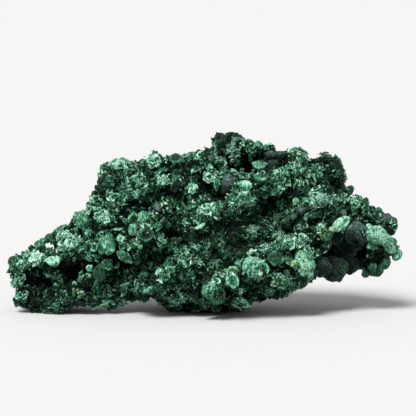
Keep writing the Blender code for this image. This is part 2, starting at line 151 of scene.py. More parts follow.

# %% [markdown]
# ## Light and dark regions
#
# Malachite is darkest where its fibres are dense, and palest at their ends. A list of soft patches
# on the show face says which regions lean pale or dark. Besides the stone's own paleness, the
# patches paint light and shade: the dark ones in the grottos, the windows, the crevices, under the
# ball over the grotto and along the underside are painted shade. A finish could be painted by hand
# instead, but patches stay readable and are easy to move.

# %% Say which regions are pale and which are dark
# Each patch: across, up, half width, half height, tone. A positive tone is paler.
# Besides the stone's own paleness, the dark patches in the grottos, the windows, the crevices and along the
# underside are painted shade.
TONE_AND_SHADE_PATCHES = (
    # left lobe
    (-89, 23, 4, 4, 0.1), (-80, 26, 8, 4, 1.05), (-78, 12, 8, 8, -0.25), (-63, 19.0, 6.5, 5.5, -1.5),
    (-63, 35, 6, 5, 1.15), (-58, 29.5, 4, 3, 0.4), (-71, 36.5, 4, 4, -0.2), (-70.5, 24, 4, 3, 0.4),
    (-55, 15, 5, 4, -0.2), (-68, 13, 4, 2, 0.2), (-61, 9, 4, 3, 0.5), (-56, 4, 7, 3, -0.4),
    (-77, 5, 11, 5, -0.75), (-90, 16, 2, 4, 0.2),
    # the cluster of blocks
    (-57, 43, 5, 5, 0.45), (-55, 51, 4, 5, 1.25), (-52.5, 44, 1.5, 6, -0.8), (-45, 32, 6, 5, 0.3),
    (-37, 36, 5, 4, 0.5), (-53, 34, 5, 3, 0.65), (-28, 44, 6, 4, 0.55), (-18, 43, 5, 3, 0.9),
    (-25, 36, 4, 3, 0.5), (-52, 26, 5, 3, 0.45), (-45, 49, 7, 3, 0.35), (-46, 44, 5, 4, 1.2),
    (-41, 26, 10, 1.5, -0.5), (-41, 19, 3.5, 4, -0.5), (-28, 25, 6, 4, -0.35), (-38, 12.5, 6, 1.5, 0.3),
    (-27, 12, 5, 2, 0.1), (-26, 17, 5, 3.5, -1.0), (-45, 14, 6, 2, -0.5), (-33, 31, 5, 2, 0.15),
    (-35, 18, 3, 3, 0.95),
    # upper left
    (-38, 71, 7, 4, 0.85), (-24, 72, 5, 3, 0.5), (-16, 71, 4, 3, -0.4), (-42, 54, 5, 4, 0.2),
    (-6, 58, 3, 3, 0.5), (-29, 50.5, 8, 2.2, -0.6), (-17, 57, 9, 3, -0.6), (-50, 58, 5, 5, 0.15),
    (-33, 61, 7, 6, 0.3), (-25, 68, 6, 4, 0.1), (-6, 64, 5, 4, -0.7), (-7, 72, 4, 3, 0.5),
    (-45, 65, 4, 4, -0.1), (-15, 65, 5, 3, -0.4), (-35, 54, 4, 2.5, 0.4),
    # peak and grotto
    (7, 80, 3, 4, -0.3), (14, 79, 6, 4, 0.3), (7, 75.5, 4, 2, 0.3), (26, 78.5, 6, 3.5, 0.85),
    (31, 73, 7, 4, -0.75), (2, 67, 3, 3, 0.2), (9, 71, 4, 3, 1.1), (18, 71, 5, 3, 0.4),
    (5.5, 61, 3, 5, 0.3), (9, 54, 5, 3.5, -1.1), (2, 59, 2.5, 2.5, -0.8), (17.5, 54, 5, 6, 1.25),
    (26, 58, 5, 3, 0.1), (30, 66, 6, 2, -0.6), (37, 61, 5, 4, -0.3), (1, 74, 3, 3, -0.4),
    # tops to the right
    (36, 63, 7, 5, 0.0), (43, 68, 4, 9, 0.25), (56, 70, 7, 5, -0.35), (64, 67, 3, 5, 0.2),
    (51, 53, 7, 4, 0.55), (41, 50, 4, 4, 0.4), (63, 54, 6, 4, 0.4), (31, 53, 8, 4, -0.5),
    (50, 46, 6, 3, 0.15),
    # the moss slope and its bounds
    (22, 40, 18, 9, -0.05), (-13, 36, 7, 6, -0.6), (5, 46, 8, 3, 0.1), (-2, 40, 4, 2, 0.4),
    (-9, 25, 6, 4, 0.6), (11, 35, 7, 4, -0.55), (42, 34, 11, 4, 0.7), (22, 27, 6, 2.5, -0.15),
    (2, 51, 7, 3, 0.15), (12, 26, 6, 3, -0.3), (36, 45, 6, 3, 1.3), (49, 43, 7, 3, 0.75),
    # the ball ridge and the base
    (46, 25, 6, 6, 0.6), (12, 17, 5, 5, 0.6), (2, 15, 5, 5, 0.25), (17, 6, 4, 3, 0.1), (-22, 6, 9, 4, -0.3),
    (37, 16, 6, 4, 0.9), (-5, 8, 6, 4, -0.95), (19, 16, 4, 3, -0.3), (10.5, 9, 2, 4, -0.9),
    (31, 21, 3, 2, -0.9), (31, 7, 8, 3, -0.7), (0, 2, 25, 2.5, -0.4), (41, 18.5, 3, 2, -0.6),
    # right lobe
    (61, 41, 6, 3, 0.25), (66, 30, 9, 7, -1.1), (80, 37, 6, 5, 0.5), (89, 28, 4, 4, 0.5),
    (80, 25, 6, 3, -0.6), (67, 21, 4, 3, -0.3), (74, 17, 5, 3, -0.3), (76, 49, 8, 4, -0.1),
    (70, 52, 6, 4, 0.45), (81, 18, 5, 4, -0.45), (59, 47, 4, 3, -0.2), (84, 24, 3, 4, -0.4),
    (81, 44, 3, 3, -0.4),
)


def soft_spot(across, up, a, u, wide, high):
    """1 at a spot on the show face, fading past its half width and half height."""
    return np.exp(-(((across - a) / wide) ** 2) - ((up - u) / high) ** 2)


def add_patches(patches, across, up):
    """The sum of these patches at each place on the show face."""
    total = np.zeros(len(across))
    for *spot, amount in patches:
        total += amount * soft_spot(across, up, *spot)
    return total


def on_show_face(out):
    """1 on the show face, fading to 0 behind it."""
    return np.clip((out + 8) / 10, 0, 1)


def region_tone_and_shade(points):
    """How much paler or darker the stone is at each of these frame points, its painted shade included."""
    across, up, out = to_face(points)
    return add_patches(TONE_AND_SHADE_PATCHES, across, up) * on_show_face(out)


print(len(TONE_AND_SHADE_PATCHES), "patches of tone")

# %% [markdown]
# ## Finishes
#
# One family of finishes serves the whole stone. Four attributes travel with every mesh. `growth`
# runs from the root of a fibre or the floor of a crevice, 0, to its tip or crest, 1, and carries
# painted light too: painted shade in hollows, and painted highlights on crisp edges and on the tops
# of balls and fibre arcs. `tone` says how pale the piece is, with painted shade in grottos and close
# to the named pieces, `warm` how olive, and `strand` is a place among the fibres, so that noise read
# there draws streaks along them. Growth, tone and streaks add up to one value, and a ramp turns it
# from near black to mint. Painting each piece would give more say over single spots, but never for
# ten thousand of them.

# %% Mix the greens
GREENS = (
    (0.0, (0.0010, 0.0026, 0.0016)),
    (0.25, (0.0036, 0.0125, 0.0062)),
    (0.45, (0.0100, 0.053, 0.0245)),
    (0.65, (0.039, 0.188, 0.094)),
    (0.82, (0.160, 0.45, 0.275)),
    (1.0, (0.48, 0.78, 0.61)),
)
VELVETS = (
    (0.0, (0.0014, 0.0022, 0.0022)),
    (0.45, (0.007, 0.013, 0.012)),
    (0.75, (0.036, 0.062, 0.054)),
    (1.0, (0.22, 0.33, 0.29)),
)
OLIVE = (1.4, 0.95, 0.45, 1)
SPECK_MM = 0.7
BUMP_MM = 0.3
GREEN_SHINE = (0.6, 1.0, 0.78, 1)
GREEN_SHEEN = (0.55, 0.95, 0.74, 1)


def green_finish(name, ramp, growth_weight=0.6, tone_weight=0.4, base=0.0, streaks=0.0, wrinkles=0.0,
                 wrinkle_mm=1.0, specks=0.0, roughness=0.5, specular=0.2, sheen=0.1, grain=0.5,
                 grain_mm=0.5):
    """A procedural green made of growth, tone, streaks along the strands, wrinkles and fine specks."""
    finish = bpy.data.materials.new(name)
    finish.use_nodes = True
    tree = finish.node_tree
    shader = tree.nodes["Principled BSDF"]
    for socket, value in (("Roughness", roughness), ("Specular IOR Level", specular),
                          ("Specular Tint", GREEN_SHINE), ("Sheen Weight", sheen), ("Sheen Roughness", 0.4),
                          ("Sheen Tint", GREEN_SHEEN)):
        shader.inputs[socket].default_value = value

    def math_node(operation, a, b):
        node = tree.nodes.new("ShaderNodeMath")
        node.operation = operation
        for socket, value in zip(node.inputs, (a, b)):
            if hasattr(value, "links"):
                tree.links.new(value, socket)
            else:
                socket.default_value = value
        return node.outputs[0]

    def attribute(label, output="Fac"):
        node = tree.nodes.new("ShaderNodeAttribute")
        node.attribute_name = label
        return node.outputs[output]

    def noise_node(place, grain_size, detail, distortion=0.0):
        node = tree.nodes.new("ShaderNodeTexNoise")
        node.inputs["Scale"].default_value = 1 / grain_size
        node.inputs["Detail"].default_value = detail
        node.inputs["Distortion"].default_value = distortion
        tree.links.new(place, node.inputs["Vector"])
        return node.outputs["Fac"]

    here = tree.nodes.new("ShaderNodeTexCoord").outputs["Object"]
    wrinkled = noise_node(here, wrinkle_mm * MM, 3.0, distortion=1.2)
    # Folding the noise about its middle turns its slopes into thin bright wrinkles.
    folded = math_node("SUBTRACT", 0.12, math_node("ABSOLUTE", math_node("SUBTRACT", wrinkled, 0.5), 0.0))
    streaked = noise_node(attribute("strand", "Vector"), 1.0, 2.0)
    speckled = noise_node(here, SPECK_MM * MM, 2.0, distortion=2.0)
    value = math_node("MULTIPLY", attribute("growth"), growth_weight)
    for part, weight in ((attribute("tone"), tone_weight), (math_node("SUBTRACT", streaked, 0.5), streaks),
                         (folded, wrinkles * 4), (math_node("SUBTRACT", speckled, 0.5), specks)):
        value = math_node("ADD", value, math_node("MULTIPLY", part, weight))
    value = math_node("ADD", value, base)
    colours = tree.nodes.new("ShaderNodeValToRGB")
    while len(colours.color_ramp.elements) < len(ramp):
        colours.color_ramp.elements.new(0.5)
    for element, (place, colour) in zip(colours.color_ramp.elements, ramp):
        element.position = place
        element.color = (*colour, 1)
    tree.links.new(value, colours.inputs["Fac"])
    # Sockets 6 and 7 of a colour mix are its two colours, and its output 2 is the mixed one.
    warming = tree.nodes.new("ShaderNodeMix")
    warming.data_type = "RGBA"
    warming.blend_type = "MULTIPLY"
    tree.links.new(attribute("warm"), warming.inputs["Factor"])
    tree.links.new(colours.outputs["Color"], warming.inputs[6])
    warming.inputs[7].default_value = OLIVE
    tree.links.new(warming.outputs[2], shader.inputs["Base Color"])

    relief = noise_node(here, grain_mm * MM, 2.0)
    for part, weight in ((streaked, streaks * 2), (folded, wrinkles * 4)):
        relief = math_node("ADD", relief, math_node("MULTIPLY", part, weight))
    bump = tree.nodes.new("ShaderNodeBump")
    bump.inputs["Strength"].default_value = grain
    bump.inputs["Distance"].default_value = BUMP_MM * MM
    tree.links.new(relief, bump.inputs["Height"])
    tree.links.new(bump.outputs["Normal"], shader.inputs["Normal"])
    return finish


CRUST = green_finish("crumpled crust", GREENS, growth_weight=0.95, tone_weight=0.5, base=-0.27,
                     wrinkles=0.8, wrinkle_mm=1.2, specks=2.2, roughness=0.6, specular=0.08, sheen=0.0,
                     grain=1.0, grain_mm=0.6)
FLAKES = green_finish("curled flakes", GREENS, growth_weight=0.75, tone_weight=0.6, base=0.12,
                      streaks=1.2, specks=1.3, roughness=0.4, specular=0.3, sheen=0.0, grain=0.8)
FIBRES = green_finish("fine fibres", GREENS, growth_weight=0.6, tone_weight=0.6, base=0.12,
                      roughness=0.4, specular=0.3, sheen=0.0, grain=0.1)
BLOCKS = green_finish("silky blocks", GREENS, growth_weight=0.6, tone_weight=0.5, base=0.14,
                      streaks=1.3, wrinkles=0.2, wrinkle_mm=1.6, specks=0.35, roughness=0.38,
                      specular=0.3, sheen=0.1, grain=0.8)
MOTTLED = green_finish("mottled balls", GREENS, growth_weight=0.35, tone_weight=0.4, base=0.22,
                       streaks=0.9, wrinkles=0.8, wrinkle_mm=1.6, specks=0.8, roughness=0.6, sheen=0.2,
                       grain=1.0, grain_mm=0.4)
VELVET = green_finish("dark velvet", VELVETS, growth_weight=0.55, tone_weight=0.4, base=-0.08,
                      streaks=0.3, wrinkles=0.7, wrinkle_mm=1.3, specks=1.4, roughness=0.7,
                      specular=0.12, sheen=0.3, grain=1.0)
print("finishes:", [f.name for f in (CRUST, FLAKES, FIBRES, BLOCKS, MOTTLED, VELVET)])

# %% [markdown]
# ## The balls
#
# Round masses of very fine fibre look like dark velvet, and a few coarser ones are mottled green.
# The imported solid has them where this list says, and the crust has to sink under them, so the list
# comes before the crust.

# %% List the balls
# Each: across, up, out, radius (millimetres), tone.
# The low tones of the balls deep in the right grotto, at (66, 30) and (61, 36), are painted shade.
VELVET_BALLS = (
    (32, 26.5, 22.5, 4.0, -0.3), (11, 59.7, 13, 4.8, 0.25), (32, 68, 2, 3.8, -0.4), (71, 37, 5, 5.4, 0.15),
    (55, 32, 9, 3.8, -0.3), (54, 21.5, 10, 4.8, -0.5), (61, 20, 2, 5.8, -0.1), (66, 30, -2, 5.2, -1.3),
    (61, 36, 1, 4.6, -1.0), (86, 41, -3, 4.9, 0.1), (68, 22, -2, 4.2, -0.5), (8, 48, -27, 5.2, 0.0),
    (28, 34, -24, 5.8, 0.0), (52, 54, -19, 5.4, 0.0), (0, 30, -28, 4.6, 0.0),
)
MOTTLED_BALLS = (
    (4.5, 10.5, 25.5, 5.6, -0.15), (22, 20.5, 25, 6.3, 0.1), (80, 20.5, 0, 3.8, -0.6),
    (84, 23, -1, 3.4, -0.5), (-22, 40, -26, 5.6, 0.0), (-48, 36, -14, 4.8, 0.0), (70, 34, -19, 4.4, 0.0),
)
BALLS = np.array(VELVET_BALLS + MOTTLED_BALLS)
ball_centres = np.array([to_frame(*row[:3]) for row in BALLS])
ball_radii = BALLS[:, 3] * MM


def over_balls(points, margin_mm):
    """Whether each point lies inside a ball grown by a margin."""
    inside = np.zeros(len(points), bool)
    for centre, radius in zip(ball_centres, ball_radii):
        inside |= np.linalg.norm(points - centre, axis=1) < radius + margin_mm * MM
    return inside


print(len(BALLS), "balls")

# %% [markdown]
# ## Pieces that can be named
#
# About 140 blocks, cups, caps, lumps and rosettes are large enough to be told apart on the show
# face. Each has a row in a table. The tables come before the crust, because the crust and the
# scattered pieces take painted shade close to these pieces, and little else grows over them.

# %% List the named pieces
# Each: across, up, half width, half height, depth, turn, tilt to the right, tilt up (degrees), tone.
BLOCK_ROWS = (
    # left lobe, and the arch over its window
    (-89.5, 23, 2.6, 3.2, 2.4, 20, -30, 0, 0.05), (-84, 25, 1.3, 2.2, 1.6, 25, -20, 30, 0.4),
    (-82, 23, 2.0, 1.0, 1.4, -30, 0, 20, 0.45), (-78, 22.4, 3.0, 0.8, 1.6, -5, 0, 10, 0.4),
    (-75.5, 26, 1.8, 1.6, 1.8, 30, 0, 0, 0.2), (-83, 26, 1.4, 1.8, 1.8, 10, -20, 20, 0.3),
    (-72, 14.5, 1.4, 0.9, 1.2, 20, 0, 0, 0.1), (-61, 25.5, 0.9, 1.8, 1.2, 0, 0, 0, 0.5),
    (-58, 29.5, 2.8, 2.0, 2.0, 20, 0, 0, 0.35), (-68.5, 13, 2.2, 1.0, 1.4, 0, 0, 20, 0.4),
    (-61, 13.6, 1.2, 1.2, 1.2, 0, 0, 20, 0.55), (-60.8, 10, 0.8, 2.0, 1.2, 0, 0, 0, 0.4),
    (-57.5, 9.6, 1.6, 1.2, 1.0, 0, 0, 0, 0.35), (-51, 13.5, 0.9, 1.8, 1.0, -10, 0, 0, 0.4),
    # the cluster of blocks
    (-45.5, 31.5, 3.6, 4.8, 3.4, 10, -10, -10, 0.2), (-43.5, 34.5, 2.2, 3.0, 3.0, 10, 10, 10, 0.45),
    (-48, 28.7, 1.3, 1.3, 2.4, 0, 0, 0, 0.6), (-32.5, 38.5, 2.6, 3.0, 2.6, 15, 15, -10, 0.55),
    (-27.5, 44.5, 3.0, 3.4, 2.6, 0, 5, 25, 0.45), (-26, 42, 2.0, 1.6, 2.4, 30, 0, 0, 0.6),
    (-36, 42, 1.2, 2.6, 1.6, 45, 0, 0, 0.4), (-21.3, 40.3, 2.7, 2.1, 2.0, 20, 20, -10, 0.45),
    (-24.3, 37, 0.8, 1.2, 1.4, 0, 0, 0, 0.5), (-38.7, 34.6, 2.4, 1.8, 2.0, -15, 0, -25, 0.6),
    (-40, 38.7, 3.2, 0.8, 1.6, 0, 0, 20, 0.4), (-53, 34, 4.6, 1.2, 1.8, 35, -10, 10, 0.35),
    (-52, 25.9, 3.6, 1.1, 2.4, 0, 0, 35, 0.5), (-50.4, 24.2, 0.9, 0.6, 1.2, -20, 0, 0, 0.6),
    (-48.7, 19, 3.0, 4.4, 2.0, 15, 10, -15, -0.3), (-41.3, 22, 1.6, 1.2, 1.4, 40, 0, 0, 0.45),
    (-33, 31.4, 2.4, 1.5, 1.8, 10, 0, 0, 0.3), (-29.7, 31.2, 1.2, 1.1, 1.4, 0, 0, 0, 0.45),
    (-57, 43, 3.6, 3.0, 2.4, 20, -10, 20, 0.1), (-38.7, 44.7, 0.8, 1.0, 1.2, 0, 0, 0, 0.6),
    (-44, 48.4, 1.3, 0.9, 1.2, 40, 0, 0, 0.55), (-42, 11, 1.6, 0.9, 1.2, 30, 0, 0, 0.5),
    (-37, 13.4, 2.4, 0.9, 1.4, 15, 0, 0, 0.4), (-26, 11.5, 2.6, 1.0, 1.2, 25, 0, 0, 0.4),
    (-25.5, 23.4, 1.4, 0.6, 1.0, 25, 0, 0, 0.4), (-16, 21, 2.0, 2.0, 1.4, 20, 0, 0, 0.35),
    (-23, 30, 1.0, 1.0, 1.0, 0, 0, 0, 0.3),
    # the peak and the grotto
    (7.6, 80.5, 3.0, 3.2, 2.2, 0, -15, 10, -0.3), (7, 76, 3.2, 1.2, 1.8, 5, 0, 30, 0.35),
    (20, 79.6, 2.4, 2.0, 2.0, 0, 0, 20, -0.1), (24.8, 78.4, 2.2, 2.0, 2.0, -30, 10, 20, 0.25),
    (21.6, 72.5, 1.3, 2.6, 1.6, 15, 0, 10, 0.6), (14, 69.2, 0.8, 1.0, 1.2, 0, 0, 0, 0.4),
    (5.4, 61, 1.6, 3.8, 2.0, -5, -10, 10, 0.5), (42, 51.4, 1.4, 2.0, 1.4, 0, 0, 0, 0.75),
    (38.6, 47.4, 1.9, 1.3, 1.4, 20, 0, 0, 0.65), (47, 52.5, 2.6, 1.6, 1.6, -15, 0, 0, 0.45),
    (50, 46, 2.4, 1.4, 1.6, 20, 0, 0, 0.3), (-2, 40.6, 2.8, 1.0, 1.4, 25, 0, 0, 0.6),
    # the ball ridge
    (25.5, 23.4, 2.3, 2.0, 3.4, 20, 20, 30, 0.55), (12.6, 21.4, 1.8, 1.3, 1.4, 20, 0, 20, 0.5),
    (16.5, 6.3, 3.0, 1.5, 2.4, -15, 0, 20, 0.45), (38, 20, 1.8, 1.6, 1.6, 20, -20, 0, 0.5),
    (37.3, 17.6, 2.4, 0.7, 1.4, -25, 0, 0, 0.55), (37.5, 28.5, 0.7, 1.6, 1.2, 45, 0, 0, 0.5),
    (39.6, 27, 0.6, 1.9, 1.2, 30, 0, 0, 0.45), (42.4, 28, 0.9, 2.1, 1.4, -30, 0, 0, 0.7),
    (47.5, 24, 1.6, 4.4, 2.4, 12, 30, 0, 0.5), (31.8, 18.8, 1.1, 0.8, 1.0, 20, 0, 0, 0.5),
    (29, 18.2, 1.6, 0.6, 1.0, 0, 0, 0, 0.3), (23.7, 7.3, 0.7, 0.9, 0.8, 0, 0, 0, 0.6),
    # right lobe
    (62.3, 41.4, 5.0, 2.3, 3.4, 35, 10, 15, 0.85), (58.9, 38.4, 1.3, 2.6, 3.0, -20, -20, 0, 0.75),
    (57, 36.6, 3.4, 1.9, 2.8, 35, 0, 20, 0.1), (67.5, 57, 2.4, 2.4, 2.0, 5, 10, 10, -0.45),
    (75, 51.3, 2.0, 2.6, 2.2, 0, 15, 10, -0.25), (70.5, 53, 1.8, 1.6, 1.6, 0, 10, 20, 0.1),
    (69.5, 48.5, 1.3, 1.9, 1.6, 0, 10, 0, 0.15), (82, 45.4, 0.9, 1.1, 1.2, 0, 0, 10, 0.65),
    (81.5, 47.6, 2.0, 1.6, 1.8, 0, 20, 20, 0.0), (67.5, 40, 0.5, 2.0, 1.0, -40, 0, 0, 0.4),
    (77.5, 39, 3.0, 2.0, 2.6, -30, -10, 25, 0.8), (83.5, 36.5, 4.0, 1.7, 3.0, -38, 0, 15, 0.8),
    (77.5, 31.5, 2.2, 3.0, 2.8, -20, -20, 0, 0.35), (85.2, 31.2, 4.2, 1.8, 3.0, -45, 10, 0, 0.7),
    (88.4, 33, 2.4, 1.9, 2.4, -38, 25, 0, 0.4), (90.5, 26.8, 1.8, 2.4, 2.0, -30, 30, -10, 0.7),
    (84, 27.5, 2.8, 1.8, 2.4, -20, 0, -20, -0.1), (76.3, 26.5, 0.7, 0.9, 0.9, 0, 0, 0, 0.4),
    (75, 18, 1.8, 2.2, 1.8, 0, 0, -10, -0.4), (62, 48.5, 2.0, 1.5, 1.4, 0, 0, 10, 0.1),
)
CUP_ROWS = (
    (-32.7, 44.3, 2.4, 3.2, 3.0, 0, 0, -25, 0.45), (-27, 36.7, 3.1, 3.2, 2.2, 0, 10, -5, -0.2),
    (8, 69.4, 2.7, 2.8, 2.4, 0, -25, 10, 0.4), (50, 27.2, 2.1, 1.9, 2.0, 0, 30, 10, 0.4),
    (-13.5, 71.8, 3.0, 2.2, 1.6, 0, 0, 20, 0.0), (-50.6, 30.6, 1.4, 2.4, 2.0, 10, -30, 0, 0.35),
)
CAP_ROWS = (
    (-70.3, 24, 3.2, 2.6, 3.0, 0, 0, 35, 0.75), (-59.5, 33, 1.6, 1.9, 1.8, 0, 20, 0, 0.5),
    (-53.4, 21, 1.9, 1.7, 2.2, 0, 0, 0, 0.6), (-44.7, 22.6, 3.0, 3.0, 2.8, 0, 0, 15, 0.0),
    (-37, 26.8, 4.1, 2.3, 2.6, -35, 0, -15, 0.15), (2.4, 67.6, 1.9, 1.8, 2.0, 0, -30, 20, 0.65),
    (25.3, 68.4, 3.1, 2.5, 2.8, 0, 10, 35, 0.45), (25.6, 62.2, 3.1, 2.1, 3.0, -5, 10, 50, 0.05),
    (6.5, 75.6, 2.0, 1.4, 1.6, 0, 0, 20, 0.3), (32.3, 26, 3.5, 3.5, 2.6, 0, 0, 0, -0.1),
    (36.5, 14, 2.6, 2.0, 2.0, 20, 0, -10, 0.3),
)
ALMOND_ROWS = ((13.2, 15.8, 2.7, 4.4, 2.6, 15, -10, 0, 0.15),)
PALE_MASS_ROWS = (
    (45.4, 23, 4.6, 6.4, 3.8, 12, 12, 0, 0.15), (41.2, 23.4, 2.6, 2.0, 2.6, 20, -10, 0, 0.1),
    (47.6, 18.5, 2.8, 3.4, 3.0, 10, 20, -20, 0.0), (80.6, 36.4, 5.4, 4.2, 4.6, -25, 5, 10, 0.2),
    (86.2, 31.0, 5.2, 2.7, 4.4, -48, 15, 0, 0.1), (90.2, 26.6, 2.2, 2.8, 3.2, -25, 25, -10, 0.0),
)
SLATE_ROWS = (
    (3, 72, 1.9, 1.8, 1.6, 0, 0, 0, 0.4), (-21.5, 49, 1.6, 2.0, 1.4, 0, 0, 0, 0.5),
    (-32.5, 33.8, 2.4, 1.4, 1.4, 20, 0, 0, 0.4), (30.5, 74, 3.0, 2.2, 2.2, 0, 10, 20, 0.2),
    (64.5, 46.5, 1.6, 2.2, 1.4, 0, 0, 0, 0.4), (44.2, 48.2, 2.2, 1.8, 1.6, 0, 0, 0, 0.2),
    (36, 74, 2.6, 1.6, 1.8, 0, 0, 20, 0.1), (-19.6, 43.2, 0.9, 1.8, 1.2, -30, 0, 0, 0.7),
)
# The arch over the window, and a lump deep in the hollow beside it, all at one depth. The lump's low
# tone is painted shade.
ARCH_OUT = -2.0
ARCH_ROWS = (
    (-78.3, 30.8, 2.0, 2.8, 2.2, 20, -20, 30, 0.4), (-75.9, 33.5, 2.3, 1.7, 2.4, 25, -20, 30, 0.2),
    (-72.6, 34.8, 2.6, 1.8, 2.6, 5, -10, 30, -0.35), (-69.6, 36.7, 2.6, 2.8, 2.6, 0, -10, 30, -0.3),
    (-66.5, 39.0, 3.0, 1.9, 2.2, -15, 0, 40, -0.2), (-69.7, 31.4, 2.0, 2.8, 2.0, 0, 0, 0, -0.1),
    (-76.2, 30.2, 1.2, 2.4, 1.8, 0, 0, 0, 0.3), (-73.4, 28.5, 2.8, 1.2, 1.8, 0, 0, 0, 0.1),
    (-63.0, 23.3, 2.2, 1.6, 2.6, 0, 0, 0, -1.2),
)
# Each: across, up, radius, tilt to the right, tilt up (degrees), tone.
ROSETTES = (
    (-65, 33.5, 4.6, -5, 5, 0.4), (-56, 15.8, 3.6, -10, 0, -0.1), (-39.5, 69.5, 3.4, -10, 20, 0.35),
    (-42, 54, 4.0, 0, 10, 0.2), (2, 63.5, 3.0, -20, 10, 0.35), (51, 54, 4.0, 10, 15, 0.25),
    (-27.5, 46, 3.4, 0, 30, 0.35), (-33, 60, 3.6, 0, 10, 0.2), (-24, 71, 3.2, 0, 20, 0.35),
    (35, 62.5, 4.6, 0, 10, -0.1), (42, 75, 3.4, 0, 20, 0.35), (22.5, 27.5, 2.8, 0, 20, 0.5),
    (13.5, 79.5, 4.0, 0, 20, 0.25), (-6, 58.5, 2.4, 0, 20, 0.5), (-8, 43, 2.6, 0, 10, 0.3),
)

NAMED = [row[:4] + row[5:6] for row in BLOCK_ROWS + CUP_ROWS + CAP_ROWS + ALMOND_ROWS + SLATE_ROWS
         + PALE_MASS_ROWS]
NAMED += [(across, up, radius * 0.9, radius * 0.9, 0) for across, up, radius, *_ in ROSETTES]
NAMED += [(18, 55.5, 4.6, 5.0, 0), (12, 52.5, 3.6, 2.4, 30)]
# Behind this depth the back begins, where nothing is named.
NAMED_BACK = -8.0


def cover(across, up, out, margin):
    """How far under the named pieces each place lies, 1 at a middle, each piece widened by a margin."""
    covered = np.zeros(len(across))
    for a, u, wide, high, turn in NAMED:
        c, s = math.cos(math.radians(turn)), math.sin(math.radians(turn))
        x, y = (across - a) * c + (up - u) * s, (up - u) * c - (across - a) * s
        way = (x / (wide + margin)) ** 2 + (y / (high + margin)) ** 2
        covered = np.maximum(covered, np.exp(-(way**2)))
    return covered * (out > NAMED_BACK)


SHADE_MARGIN = 1.0
SHADE_DEPTH = 0.35


def shade_round_named(points):
    """How much painted shade lies under and close to the named pieces, at each of these frame points."""
    return SHADE_DEPTH * cover(*to_face(points), SHADE_MARGIN)


print(len(NAMED), "named pieces")

# %% [markdown]
# ## The masses
#
# Between the fibres and the whole stone there is a middle size: rounded masses 6 to 16 mm wide,
# parted by creases. The main ones on the show face are listed, and each swells the crust like a
# cushion. Without them the surface would have the right grain and the wrong form.

# %% List the masses
# Each: across, up, half width, half height, rise (millimetres).
MASSES = (
    # left lobe and the cluster
    (-88, 24, 4, 4.5, 1.0), (-81, 26, 4.5, 3.5, 1.0), (-65, 34, 5.2, 4.8, 1.6), (-57, 43, 5, 4, 1.4),
    (-56, 15.5, 4.2, 4, 1.3), (-70, 23.5, 3.6, 3, 1.0), (-45, 32, 5.4, 5, 1.2), (-30, 41, 6.5, 6, 1.3),
    (-47, 44, 4.6, 4, 1.3), (-54, 51, 3.6, 4.4, 1.2),
    # upper left
    (-40, 70, 5.5, 4.2, 1.4), (-24, 71, 4.6, 3.8, 1.4), (-13, 71, 4.2, 3, 1.2), (-33, 62, 6, 4.6, 1.4),
    (-45, 61, 4.4, 4, 1.2), (-42, 53, 4.8, 3.8, 1.3), (-21, 63, 4.6, 3.6, 1.2), (-34, 54, 4, 2.8, 1.0),
    (-12, 61, 4, 3.4, 1.1), (-6, 57, 3, 3, 1.2), (-2, 73, 4.4, 3.6, 1.3), (-8, 44, 6, 3.4, 1.2),
    # peak and grotto
    (7, 79.5, 3.6, 3.8, 1.0), (14, 79, 4.4, 4.6, 1.3), (22, 76.5, 4, 3, 1.2), (7.5, 70, 3.6, 3.6, 1.4),
    (2.5, 63.5, 3.6, 4, 1.3),
    # tops to the right
    (43, 73, 4.6, 5.2, 1.3), (35, 63, 6, 4.8, 1.7), (45, 62, 4, 5, 1.2), (57, 68, 8.5, 7.4, 1.0),
    (51.5, 52.8, 6.2, 4.8, 1.7), (63, 55, 4.4, 3.6, 1.2), (71, 51.5, 4, 3.8, 1.2), (77, 47, 3.6, 3.4, 1.2),
    (42, 49.5, 3.6, 4, 1.1), (60, 47, 4, 3, 1.1),
    # slope, ridge and base
    (-13, 23, 7, 5, 1.2), (-27, 12, 5.6, 3.4, 1.1), (-38, 13.5, 4.6, 3, 1.0), (4, 48.5, 6, 3, 1.2),
    (24, 28, 4, 2.8, 1.1), (36, 31.5, 4.4, 3, 1.1), (46, 34, 4.4, 3.2, 1.1), (12, 16, 4.6, 6, 0.8),
    (36, 15, 6, 4.4, 0.9), (17, 5.5, 5, 3.6, 0.6),
    # right lobe
    (81, 35, 6, 6.6, 1.5), (62, 41.5, 4.6, 3, 1.2), (89, 29, 3.6, 4, 0.8),
)
CREASE_DEPTH = 0.9
CREASE_WIDTH = 0.14


def mass_rise(points):
    """How far each point is lifted by its mass, or sunk by a crease, in millimetres."""
    across, up, out = to_face(points)
    lifted, creased, inside = np.zeros(len(across)), np.zeros(len(across)), np.zeros(len(across), bool)
    for a, u, wide, high, rise in MASSES:
        way = np.hypot((across - a) / wide, (up - u) / high)
        lifted = np.maximum(lifted, rise * np.sqrt(np.clip(1 - way**2, 0, 1)))
        creased = np.maximum(creased, np.exp(-(((way - 1) / CREASE_WIDTH) ** 2)))
        inside |= way < 1 - CREASE_WIDTH
    return (lifted - CREASE_DEPTH * creased * ~inside) * on_show_face(out)


print(len(MASSES), "masses")

# %% [markdown]
# ## The crust
#
# The stone's own surface is crumpled all over, in domes a few millimetres wide with sharp creases
# between them and fine ridges on top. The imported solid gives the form: a copy of it is welded,
# remade in small even faces and relaxed, so that its broad facets melt. Then every point moves
# along its normal: by the masses, by cells of noise for the domes and by folded noise for the
# ridges. Sculpting it by hand would look as good, but noise in code gives the same crust each time.

# %% Make an even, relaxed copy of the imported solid
CRUST_GRAIN = 0.88 * MM
RELAX_STEPS = 3
WELD = 0.001 * MM

